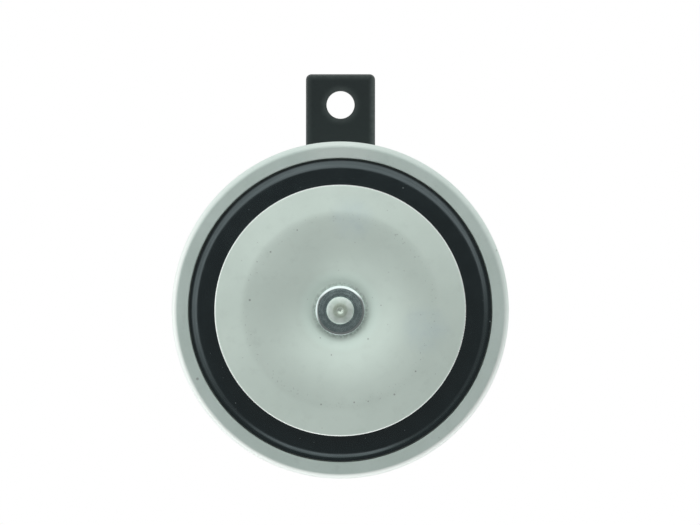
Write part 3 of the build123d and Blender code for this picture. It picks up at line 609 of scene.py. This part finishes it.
DULL_CLOUDS = (220.0, 5.0, 0.6)
DULL_GRAIN = (4.0, 0.6)
DULL_RELIEF = 0.015 * MM
DULL_SOLIDS = {
    "gasket_fibre": ((64, 72, 69), (80, 89, 85), 0.75, 0.95, 900.0),
    "insulator_fibre": ((116, 70, 42), (140, 88, 54), 0.60, 0.80, 1600.0),
    "bobbin_plastic": ((214, 211, 199), (224, 221, 211), 0.45, 0.60, 900.0),
    "block_plastic": ((30, 30, 31), (42, 42, 43), 0.45, 0.62, 1300.0),
    "resistor_body": ((168, 152, 120), (184, 168, 138), 0.55, 0.70, 900.0),
}


def dull_solid(name, dark, light, rough_low, rough_high, grain_scale):
    """A moulded or pressed non-metal: mottled colour and a grained surface."""
    finish = Finish(name)
    grain = finish.noise(grain_scale, *DULL_GRAIN)
    finish.base(finish.spread(finish.noise(*DULL_CLOUDS)), dark, light)
    finish.bump(grain, DULL_RELIEF, 0.6)
    return finish.finished(Roughness=finish.spread(grain, rough_low, rough_high))


def make_finishes():
    """One material for each of the record's slots."""
    return {
        "zinc_plate": zinc_plate(),
        "tone_plate": tone_plate(),
        "black_enamel": black_enamel(),
        "bracket_black": bracket_black(),
        "turned_steel": turned_steel(),
        "stem_steel": stem_steel(),
        **{name: plain_metal(name, *values) for name, values in METALS.items()},
        **{name: dull_solid(name, *values) for name, values in DULL_SOLIDS.items()},
    }


# ------------------------ lathe

# Steps of arcs and corners, and the angle from which an edge is shaded sharp, in degrees
ARC_STEP = 2.0
CORNER_STEP = 5.0
CORNER_LEAST_STEPS = 4
SHARP_ANGLE = 35.0


class Profile:
    """A half section in millimetres, drawn as radius from the horn's axis and place along it.

    The pen starts at a point with a heading in degrees, 0 outwards and 90 towards the rear.
    """

    def __init__(self, radius, y, heading):
        self.points = [(radius, y)]
        self.heading = heading

    def line(self, length):
        radius, y = self.points[-1]
        angle = math.radians(self.heading)
        self.points.append((radius + length * math.cos(angle), y + length * math.sin(angle)))

    def turn(self, radius, angle):
        """An arc of that radius that turns the heading by angle, positive towards the rear."""
        steps = max(2, math.ceil(abs(angle) / ARC_STEP))
        chord = 2 * radius * math.sin(math.radians(abs(angle)) / steps / 2)
        for _ in range(steps):
            self.heading += angle / steps / 2
            self.line(chord)
            self.heading += angle / steps / 2


def offset_points(points, thickness):
    """The points moved square to their line, towards the rear of a line that runs outwards."""
    moved = []
    for index, (radius, y) in enumerate(points):
        before = points[max(index - 1, 0)]
        after = points[min(index + 1, len(points) - 1)]
        run = Vector((after[0] - before[0], after[1] - before[1])).normalized()
        moved.append((radius - run.y * thickness, y + run.x * thickness))
    return moved


def rounded(points, radii):
    """Corner points with arcs: each corner has its own radius, 0 for a sharp one."""
    result = []
    count = len(points)
    for index, radius in enumerate(radii):
        here = Vector(points[index])
        if radius == 0:
            result.append(tuple(here))
            continue
        before = (Vector(points[index - 1]) - here).normalized()
        after = (Vector(points[(index + 1) % count]) - here).normalized()
        half = before.angle(after) / 2
        reach = radius / math.tan(half)
        middle = here + (before + after).normalized() * (radius / math.sin(half))
        start = here + before * reach - middle
        sweep = (here + after * reach - middle).angle_signed(start)
        steps = max(CORNER_LEAST_STEPS, math.ceil(abs(math.degrees(sweep)) / CORNER_STEP))
        for step in range(steps + 1):
            angle = sweep * step / steps
            turned = Vector((
                start.x * math.cos(angle) - start.y * math.sin(angle),
                start.x * math.sin(angle) + start.y * math.cos(angle),
            ))
            result.append(tuple(middle + turned))
    return result


def divided(points, longest):
    """The points of an open line with more between them where two are further apart than longest."""
    result = [points[0]]
    for before, after in zip(points, points[1:]):
        parts = max(1, math.ceil(math.dist(before, after) / longest))
        for part in range(1, parts + 1):
            share = part / parts
            result.append(tuple(a + (b - a) * share for a, b in zip(before, after)))
    return result


def sheet_loop(front, thickness, edge_round):
    """Closed section of a sheet: its front line, its rear line and rounded ends."""
    rear = offset_points(front, thickness)
    corners = front + rear[::-1]
    ends = {0, len(front) - 1, len(front), len(corners) - 1}
    radii = [edge_round if index in ends else 0 for index in range(len(corners))]
    return rounded(corners, radii)


def add_piece(name, mesh, body, slot, finishes, replaced=()):
    """Links a mesh as a piece that stands for CAD nodes. It rides on a body when one is given."""
    piece = bpy.data.objects.new(name, mesh)
    bpy.context.scene.collection.objects.link(piece)
    mesh.materials.append(finishes[slot])
    shading = piece.modifiers.new("even_shading", "WEIGHTED_NORMAL")
    shading.keep_sharp = True
    if body:
        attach(piece, body)
    if replaced:
        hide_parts(*replaced)
    return piece


def on_ring(radius, y, angle, axis_x=0.0):
    """A point in metres, from its radius and place in millimetres and its angle from the top."""
    return (axis_x + radius * math.sin(angle)) * MM, y * MM, radius * math.cos(angle) * MM - AXIS_DROP


def lathe_mesh(name, section, closed=True, steps=LATHE_STEPS, axis_x=0.0):
    """Turns a section in millimetres about an axis along Y.

    A point of the section is (radius, y), or a function that gives it for each angle from the top.
    A point on the axis becomes a pole.
    """
    builder = bmesh.new()
    rings = []
    for point in section:
        if not callable(point) and point[0] < TINY:
            rings.append([builder.verts.new((axis_x * MM, point[1] * MM, -AXIS_DROP))])
            continue
        ring = []
        for step in range(steps):
            angle = 2 * math.pi * step / steps
            radius, y = point(angle) if callable(point) else point
            ring.append(builder.verts.new(on_ring(radius, y, angle, axis_x)))
        rings.append(ring)
    pairs = list(zip(rings, rings[1:]))
    if closed:
        pairs.append((rings[-1], rings[0]))
    for first, second in pairs:
        join_rings(builder, first, second, steps)
    return close_mesh(name, builder)


def sector_mesh(name, front, rear, first, last, steps):
    """Turns a sheet's front and rear lines from one angle to another and closes all its sides."""
    builder = bmesh.new()
    rows = []
    for step in range(steps + 1):
        angle = first + (last - first) * step / steps
        rows.append([
            [builder.verts.new(on_ring(radius, y, angle)) for radius, y in line] for line in (front, rear)
        ])
    count = len(front)
    for (front_a, rear_a), (front_b, rear_b) in zip(rows, rows[1:]):
        for index in range(count - 1):
            builder.faces.new((front_a[index], front_a[index + 1], front_b[index + 1], front_b[index]))
            builder.faces.new((rear_a[index], rear_b[index], rear_b[index + 1], rear_a[index + 1]))
        for end in (0, count - 1):
            builder.faces.new((front_a[end], front_b[end], rear_b[end], rear_a[end]))
    for front_row, rear_row in (rows[0], rows[-1]):
        for index in range(count - 1):
            builder.faces.new((front_row[index], front_row[index + 1], rear_row[index + 1], rear_row[index]))
    return close_mesh(name, builder)


def close_mesh(name, builder):
    """The mesh of a finished builder, shaded smooth but for its sharp edges."""
    bmesh.ops.recalc_face_normals(builder, faces=builder.faces)
    mesh = bpy.data.meshes.new(name)
    builder.to_mesh(mesh)
    builder.free()
    mesh.polygons.foreach_set("use_smooth", [True] * len(mesh.polygons))
    mesh.set_sharp_from_angle(angle=math.radians(SHARP_ANGLE))
    return mesh


def join_rings(builder, first, second, steps):
    """Faces between two rings, either of which may be a pole."""
    if len(first) == 1 and len(second) == 1:
        return
    for step in range(steps):
        after = (step + 1) % steps
        if len(first) == 1:
            builder.faces.new((first[0], second[after], second[step]))
        elif len(second) == 1:
            builder.faces.new((first[step], first[after], second[0]))
        else:
            builder.faces.new((first[step], first[after], second[after], second[step]))


# ------------------------ pressed and turned pieces

EDGE_ROUND = 0.15
STEM_BORE = 4.1

TONE_SHEET = 1.2
TONE_RADIUS = 37.1
TONE_SEAT_RADIUS = 8.3
TONE_SEAT_FRONT = -23.05
TONE_SEAT_BEND = 3.0
TONE_WALL_ANGLE = 21.6
TONE_WALL_LENGTH = 4.4
TONE_CREST_RADIUS = 27.2
TONE_FLARE_BEND = 11.0
TONE_FLARE_ANGLE = 13.0
TONE_EDGE_ROUND = 0.5


def make_tone_disc(finishes):
    """Dished plate: a flat seat, a conical wall, a wide bowl up to the crest and a flare back from it."""
    front = Profile(STEM_BORE, TONE_SEAT_FRONT, 0.0)
    front.line(TONE_SEAT_RADIUS - STEM_BORE)
    front.turn(TONE_SEAT_BEND, -TONE_WALL_ANGLE)
    front.line(TONE_WALL_LENGTH)
    dish_radius = (TONE_CREST_RADIUS - front.points[-1][0]) / math.sin(math.radians(TONE_WALL_ANGLE))
    front.turn(dish_radius, TONE_WALL_ANGLE)
    front.turn(TONE_FLARE_BEND, TONE_FLARE_ANGLE)
    front.line((TONE_RADIUS - front.points[-1][0]) / math.cos(math.radians(TONE_FLARE_ANGLE)))
    mesh = lathe_mesh("tone_disc_plate", sheet_loop(front.points, TONE_SHEET, TONE_EDGE_ROUND))
    add_piece("tone_disc_plate", mesh, "armature_group", "tone_plate", finishes, ["tone_disc"])


RIM_SHEET = 1.0
RIM_LIP_RADIUS = 45.0
RIM_RADIUS = 49.98
RIM_BACK_LIP = 4.2
RIM_FRONT_Y = -20.95
RIM_REAR_Y = -16.05
RIM_FRONT_ROUND = 2.0
RIM_BACK_ROUND = 1.6
RIM_EDGE_ROUND = 0.3


def make_rim(finishes):
    """Steel ring rolled round the clamped edge."""
    front = Profile(RIM_LIP_RADIUS, RIM_FRONT_Y, 0.0)
    front.line(RIM_RADIUS - RIM_LIP_RADIUS - RIM_FRONT_ROUND)
    front.turn(RIM_FRONT_ROUND, 90.0)
    front.line(RIM_REAR_Y - RIM_FRONT_Y - RIM_FRONT_ROUND - RIM_BACK_ROUND)
    front.turn(RIM_BACK_ROUND, 90.0)
    front.line(RIM_BACK_LIP - RIM_BACK_ROUND)
    mesh = lathe_mesh("rolled_rim", sheet_loop(front.points, RIM_SHEET, RIM_EDGE_ROUND))
    add_piece("rolled_rim", mesh, "horn_body", "zinc_plate", finishes, ["rim_ring"])


DIAPHRAGM_SHEET = 0.5
DIAPHRAGM_FRONT = -19.35
DIAPHRAGM_ROUNDS = (0.3, 0.75)
STACK_RADIUS = 47.9
FIELD_HEIGHT = 0.75
FIELD_OUTER = 43.92
FIELD_STEP_RUN = 1.45
FIELD_STEP_ROUND = 3.2
FIELD_INNER = 17.5
FIELD_INNER_RUN = 2.2
FLEX_START = 12.3
FLEX_END = 42.0
FLEX_POINTS = 24
FLEX_SECTORS = 12


def make_diaphragm(finishes):
    """Thin black plate: its ring-shaped field stands forward of its centre and of its clamped edge.

    It flexes between the washers that clamp its centre and its clamped edge. The plate is made of sectors,
    each turned through its own share of the circle, and they ride on no body.
    """
    field_y = DIAPHRAGM_FRONT - FIELD_HEIGHT
    corners = [
        (STEM_BORE, DIAPHRAGM_FRONT),
        (FIELD_INNER, DIAPHRAGM_FRONT),
        (FIELD_INNER + FIELD_INNER_RUN, field_y),
        (FIELD_OUTER - FIELD_STEP_RUN, field_y),
        (FIELD_OUTER, DIAPHRAGM_FRONT),
        (STACK_RADIUS, DIAPHRAGM_FRONT),
    ]
    front = rounded(corners, [0, *DIAPHRAGM_ROUNDS, FIELD_STEP_ROUND, FIELD_STEP_ROUND, 0])
    front = divided(front, (FLEX_END - FLEX_START) / FLEX_POINTS)
    rear = offset_points(front, DIAPHRAGM_SHEET)
    width = 2 * math.pi / FLEX_SECTORS
    for sector in range(FLEX_SECTORS):
        first = sector * width
        name = f"enamelled_diaphragm_{sector + 1:02d}"
        mesh = sector_mesh(name, front, rear, first, first + width, LATHE_STEPS // FLEX_SECTORS)
        piece = add_piece(name, mesh, None, "black_enamel", finishes, ["diaphragm"])
        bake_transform(piece)


WASHER_RADIUS = 7.3
WASHER_FRONT = -24.85
WASHER_SLOPE_START = 6.45
WASHER_SLOPE_ANGLES = (12.0, 18.5)
WASHER_SLOPE_ROUND = 6.4
WASHER_EDGE_ROUND = 0.20


def make_front_washer(finishes):
    """Flat turned washer whose face falls away in a shallow curve before its rounded edge."""
    first, last = WASHER_SLOPE_ANGLES
    front = Profile(STEM_BORE, WASHER_FRONT, 0.0)
    front.line(WASHER_SLOPE_START - STEM_BORE)
    front.heading = first
    front.turn(WASHER_SLOPE_ROUND, last - first)
    front.turn(WASHER_EDGE_ROUND, 90.0 - last)
    section = [*front.points, (WASHER_RADIUS, TONE_SEAT_FRONT), (STEM_BORE, TONE_SEAT_FRONT)]
    mesh = lathe_mesh("turned_washer", section)
    add_piece("turned_washer", mesh, "armature_group", "turned_steel", finishes, ["front_washer"])


STEM_RADIUS = 4.05
ARMATURE_RADIUS = 8.0
ARMATURE_REAR = -8.95
ARMATURE_SHOULDER = -17.65
ARMATURE_ROUND = 0.5
STEM_FRONT = -26.25
STEM_ROUND = 0.6
STEM_CROWN = 0.35
STEM_CROWN_POINTS = 12
STEM_EDGE_RISE = 0.18
STEM_EDGE_ROUND = 0.36
DIMPLE_RADIUS = 1.6
DIMPLE_DEPTH = 0.32
DIMPLE_FLAT = (0.2, 0.94)
DIMPLE_FLANK = (0.62, 0.2)
DIMPLE_ROUNDS = (0.25, 0.9, 0.4)


def make_armature(finishes):
    """One turned piece: the armature and its crowned stem, riveted over with a centre dimple."""
    crown_edge = STEM_RADIUS - STEM_ROUND
    crown = []
    for index in range(STEM_CROWN_POINTS):
        share = index / (STEM_CROWN_POINTS - 1)
        radius = DIMPLE_RADIUS + (crown_edge - DIMPLE_RADIUS) * share
        rise = (radius**2 - DIMPLE_RADIUS**2) / (crown_edge**2 - DIMPLE_RADIUS**2)
        crown.append((radius, STEM_FRONT + STEM_CROWN * rise))
    dimple = [
        (DIMPLE_RADIUS * reach, STEM_FRONT + DIMPLE_DEPTH * depth)
        for reach, depth in ((0.0, 1.0), DIMPLE_FLAT, DIMPLE_FLANK)
    ]
    corners = [
        *dimple,
        *crown,
        (STEM_RADIUS, STEM_FRONT + STEM_CROWN + STEM_EDGE_RISE),
        (STEM_RADIUS, ARMATURE_SHOULDER),
        (ARMATURE_RADIUS, ARMATURE_SHOULDER),
        (ARMATURE_RADIUS, ARMATURE_REAR),
        (0, ARMATURE_REAR),
    ]
    crown_rounds = [0] * (STEM_CROWN_POINTS - 1)
    rounds = [0, *DIMPLE_ROUNDS, *crown_rounds, STEM_EDGE_ROUND, EDGE_ROUND, EDGE_ROUND, ARMATURE_ROUND, 0]
    mesh = lathe_mesh("turned_armature", rounded(corners, rounds), closed=False)
    add_piece("turned_armature", mesh, "armature_group", "stem_steel", finishes, ["armature"])


# ------------------------ threads and fasteners

THREAD_ROWS = 12
THREAD_STEPS = 96
THREAD_DEPTH_SHARE = 0.54
THREAD_CREST = 0.125
THREAD_ROOT = 0.25


def thread_rise(turn):
    """Height of a screw thread, 0 at its root and 1 at its crest, for a place measured in pitches."""
    share = turn % 1.0
    flank = (1 - THREAD_CREST - THREAD_ROOT) / 2
    if share < THREAD_ROOT:
        return 0.0
    if share < THREAD_ROOT + flank:
        return (share - THREAD_ROOT) / flank
    if share < THREAD_ROOT + flank + THREAD_CREST:
        return 1.0
    return (1.0 - share) / flank


def thread_rows(radius, pitch, start, end, chamfer):
    """Rings of a right-hand thread along Y, which runs out at its start and is chamfered at its end."""
    depth = THREAD_DEPTH_SHARE * pitch
    count = round((end - start) / pitch * THREAD_ROWS)

    def row(y):
        limit = radius - max(0.0, chamfer - (end - y))
        run_out = min(1.0, (y - start) / pitch)

        def point(angle):
            rise = thread_rise(y / pitch - angle / (2 * math.pi))
            return min(limit, radius - depth * run_out * (1 - rise)), y

        return point

    return [row(start + (end - start) * index / count) for index in range(count + 1)]


POLE_RADIUS = 8.0
STUD_RADIUS = 4.0
STUD_PITCH = 1.25
STUD_START = 5.55
STUD_THREAD_START = 6.9
STUD_END = 21.15
STUD_CHAMFER = 0.8


def make_pole_core(finishes):
    """Pole of the electromagnet with its M8 stud, one turned piece."""
    pole_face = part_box("pole_core")[0].y / MM
    corners = [(0, pole_face), (POLE_RADIUS, pole_face), (POLE_RADIUS, STUD_START), (STUD_RADIUS, STUD_START)]
    section = rounded(corners, [0, EDGE_ROUND, EDGE_ROUND, 0])
    section += thread_rows(STUD_RADIUS, STUD_PITCH, STUD_THREAD_START, STUD_END, STUD_CHAMFER)
    section.append((0, STUD_END))
    mesh = lathe_mesh("threaded_stud", section, closed=False, steps=THREAD_STEPS)
    add_piece("threaded_stud", mesh, "horn_body", "fastener_zinc", finishes, ["pole_core"])


SCREW_X = 34.0
SCREW_RADIUS = 2.5
SCREW_PITCH = 0.8
SCREW_CHAMFER = 0.5
SCREW_TIP_RADIUS = 1.7
SLOT_WIDTH = 0.8
SLOT_DEPTH = 1.2
SLOT_ANGLE = 35.0


def make_adjusting_screw(finishes):
    """Slotted M5 screw that sets the contact breaker."""
    low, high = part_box("adjusting_screw")
    tip, end = low.y / MM, high.y / MM
    section = [(0, tip), (SCREW_TIP_RADIUS, tip)]
    section += thread_rows(SCREW_RADIUS, SCREW_PITCH, tip + SCREW_CHAMFER, end, SCREW_CHAMFER)
    section.append((0, end))
    mesh = lathe_mesh("slotted_screw", section, closed=False, steps=THREAD_STEPS, axis_x=SCREW_X)
    piece = add_piece("slotted_screw", mesh, "horn_body", "fastener_zinc", finishes, ["adjusting_screw"])
    cut_slot(piece, end)


def cut_slot(piece, end):
    """Cuts a driver slot across the screw's outer end."""
    mesh = bpy.data.meshes.new("slot_cutter")
    builder = bmesh.new()
    bmesh.ops.create_cube(builder, size=1.0)
    size = Vector((4 * SCREW_RADIUS, 2 * SLOT_DEPTH, SLOT_WIDTH)) * MM
    bmesh.ops.scale(builder, vec=size, verts=builder.verts)
    builder.to_mesh(mesh)
    builder.free()
    cutter = bpy.data.objects.new("slot_cutter", mesh)
    cutter.location = (SCREW_X * MM, end * MM, -AXIS_DROP)
    cutter.rotation_euler = (0, -math.radians(SLOT_ANGLE), 0)
    bpy.context.scene.collection.objects.link(cutter)
    cut = piece.modifiers.new("slot", "BOOLEAN")
    cut.operation = "DIFFERENCE"
    cut.object = cutter
    cut.solver = "EXACT"
    apply_modifiers(piece)
    bpy.data.objects.remove(cutter)


def apply_modifiers(piece):
    """Swaps a piece's mesh for the one its modifiers make, and drops them."""
    bpy.context.view_layer.update()
    evaluated = piece.evaluated_get(bpy.context.evaluated_depsgraph_get())
    mesh = bpy.data.meshes.new_from_object(evaluated)
    piece.modifiers.clear()
    piece.data = mesh


PLAIN_WASHER_INNER = 4.2
PLAIN_WASHER_ROUND = 0.3


def make_rear_washer(finishes):
    """Punched flat washer, rolled over at the edge of its outer face."""
    low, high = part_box("bracket_washer")
    inner, outer, front, rear = PLAIN_WASHER_INNER, high.x / MM, low.y / MM, high.y / MM
    corners = [(inner, front), (outer, front), (outer, rear), (inner, rear)]
    section = rounded(corners, [EDGE_ROUND, EDGE_ROUND, PLAIN_WASHER_ROUND, PLAIN_WASHER_ROUND])
    mesh = lathe_mesh("plain_washer", section)
    add_piece("plain_washer", mesh, "horn_body", "fastener_zinc", finishes, ["bracket_washer"])


LOCK_INNER = 4.1
LOCK_WIRE_ROUND = 0.24
LOCK_SLIT = 0.9
LOCK_SLANT = math.radians(20.0)
LOCK_SLIT_ANGLE = math.radians(90.0)
LOCK_STEPS = 180


def make_lock_washer(finishes):
    """Split ring of square wire with a slanted slit on its right side."""
    low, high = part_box("lock_washer")
    front, rear, outer = low.y / MM, high.y / MM, (high.z + AXIS_DROP) / MM
    corners = [(LOCK_INNER, front), (outer, front), (outer, rear), (LOCK_INNER, rear)]
    section = rounded(corners, [LOCK_WIRE_ROUND] * 4)
    middle = (front + rear) / 2
    gap = LOCK_SLIT / 2 / math.cos(LOCK_SLANT)
    builder = bmesh.new()
    rings = []
    for step in range(LOCK_STEPS + 1):
        ring = []
        for radius, y in section:
            slant = (y - middle) * math.tan(LOCK_SLANT)
            first = LOCK_SLIT_ANGLE + (gap + slant) / radius
            last = LOCK_SLIT_ANGLE + 2 * math.pi - (gap - slant) / radius
            angle = first + (last - first) * step / LOCK_STEPS
            ring.append(builder.verts.new(on_ring(radius, y, angle)))
        rings.append(ring)
    for first, second in zip(rings, rings[1:]):
        join_rings(builder, first, second, len(section))
    builder.faces.new(rings[0])
    builder.faces.new(rings[-1])
    mesh = close_mesh("split_washer", builder)
    add_piece("split_washer", mesh, "horn_body", "fastener_zinc", finishes, ["lock_washer"])


NUT_FLATS = 13.0
NUT_CHAMFER_ANGLE = 30.0
NUT_CHAMFER_START = 6.2
NUT_BORE = 4.05
NUT_COUNTERSINK = 4.5
NUT_STEPS = 192
NUT_CORNER_CUT = 0.12


def make_nut(finishes):
    """Hexagon nut, chamfered at both ends and countersunk at its bore."""
    low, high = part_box("bracket_nut")
    front, rear = low.y / MM, high.y / MM

    def side_radius(angle):
        """Distance to the hexagon's side, its corners cut back a little."""
        turn = (angle + math.pi / 6) % (math.pi / 3) - math.pi / 6
        flat = NUT_FLATS / 2 / math.cos(turn)
        return min(flat, NUT_FLATS / 2 / math.cos(math.pi / 6) - NUT_CORNER_CUT)

    def shoulder(face, inwards):
        """Where the end chamfer meets the side."""
        slope = math.tan(math.radians(NUT_CHAMFER_ANGLE))
        return lambda angle: (
            side_radius(angle),
            face + inwards * (side_radius(angle) - NUT_CHAMFER_START) * slope,
        )

    sink = NUT_COUNTERSINK - NUT_BORE
    section = [
        (NUT_BORE, front + sink), (NUT_COUNTERSINK, front), (NUT_CHAMFER_START, front), shoulder(front, 1.0),
        shoulder(rear, -1.0), (NUT_CHAMFER_START, rear), (NUT_COUNTERSINK, rear), (NUT_BORE, rear - sink),
    ]
    mesh = lathe_mesh("hexagon_nut", section, steps=NUT_STEPS)
    add_piece("hexagon_nut", mesh, "horn_body", "fastener_zinc", finishes, ["bracket_nut"])


WINDING_INNER = 9.75
WINDING_STEPS = 120
WIRE_TURNS = 22
WIRE_POINTS = 6


def make_winding(finishes):
    """Coil whose outer layer shows its turns of wire."""
    low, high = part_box("coil_winding")
    front, rear, outer = low.y / MM, high.y / MM, high.x / MM
    wire = (rear - front) / WIRE_TURNS
    section = [(WINDING_INNER, rear), (WINDING_INNER, front)]
    for turn in range(WIRE_TURNS):
        for index in range(WIRE_POINTS):
            share = (index + 0.5) / WIRE_POINTS
            drop = wire / 2 * (1 - math.sin(math.pi * share))
            section.append((outer - drop, front + (turn + share) * wire))
    mesh = lathe_mesh("wound_coil", section, steps=WINDING_STEPS)
    add_piece("wound_coil", mesh, "horn_body", "enamelled_copper", finishes, ["coil_winding"])


# ------------------------ breaker spring

SPRING_TIP = 10.2
SPRING_BEND_END = 15.2
SPRING_BEND_STEPS = 12


def make_contact_spring(finishes):
    """The breaker's leaf spring, whose tip bends with the sleeve that pushes it while its contact stays."""
    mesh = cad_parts["contact_spring"].data.copy()
    mesh.name = "contact_leaf"
    mesh.materials.clear()
    builder = bmesh.new()
    builder.from_mesh(mesh)
    for step in range(1, SPRING_BEND_STEPS + 1):
        across = SPRING_TIP + (SPRING_BEND_END - SPRING_TIP) * step / SPRING_BEND_STEPS
        everything = [*builder.verts, *builder.edges, *builder.faces]
        bmesh.ops.bisect_plane(builder, geom=everything, plane_co=(across * MM, 0, 0), plane_no=(1, 0, 0))
    builder.to_mesh(mesh)
    builder.free()
    piece = add_piece("contact_leaf", mesh, None, "spring_bronze", finishes, ["contact_spring"])
    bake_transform(piece)


# ------------------------ the CAD nodes that stay

SOFTENED = {
    "bracket": 0.15,
    "terminal_block": 0.3,
    "terminal_blade_left": 0.1,
    "terminal_blade_right": 0.1,
    "adjuster_nut": 0.2,
    "contact_arm": 0.1,
    "pole_plate": 0.15,
    "coil_bobbin": 0.15,
    "actuator_sleeve": 0.15,
    "terminal_insulator": 0.08,
    "disc_spacer": 0.15,
    "stiffening_washer": 0.15,
    "moving_contact": 0.1,
    "fixed_contact": 0.1,
}
SOFT_EDGE_ANGLE = 50.0
SOFT_EDGE_STEPS = 3
FLAT_ANGLE = 0.5


def dress_cad_nodes(finishes):
    """Gives every CAD node the material of its slot, and softens the edges of the sharp ones."""
    for name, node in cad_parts.items():
        for place in node.material_slots:
            place.material = finishes[place.material.name]
        if name in SOFTENED:
            soften(node, SOFTENED[name] * MM)


def soften(node, width):
    """Joins the facets of each flat face and rounds the sharp edges, as modifiers."""
    weld = node.modifiers.new("weld", "WELD")
    weld.merge_threshold = TINY
    flats = node.modifiers.new("flats", "DECIMATE")
    flats.decimate_type = "DISSOLVE"
    flats.angle_limit = math.radians(FLAT_ANGLE)
    edge = node.modifiers.new("edge", "BEVEL")
    edge.width = width
    edge.segments = SOFT_EDGE_STEPS
    edge.limit_method = "ANGLE"
    edge.angle_limit = math.radians(SOFT_EDGE_ANGLE)
    edge.use_clamp_overlap = True
    shading = node.modifiers.new("even_shading", "WEIGHTED_NORMAL")
    shading.keep_sharp = True


# ------------------------ build

make_camera()
make_world()
make_floor()
make_key_light()
finishes = make_finishes()
dress_cad_nodes(finishes)
make_tone_disc(finishes)
make_rim(finishes)
make_diaphragm(finishes)
make_front_washer(finishes)
make_armature(finishes)
make_pole_core(finishes)
make_adjusting_screw(finishes)
make_rear_washer(finishes)
make_lock_washer(finishes)
make_nut(finishes)
make_winding(finishes)
make_contact_spring(finishes)

bpy.context.scene.view_settings.view_transform = "Standard"
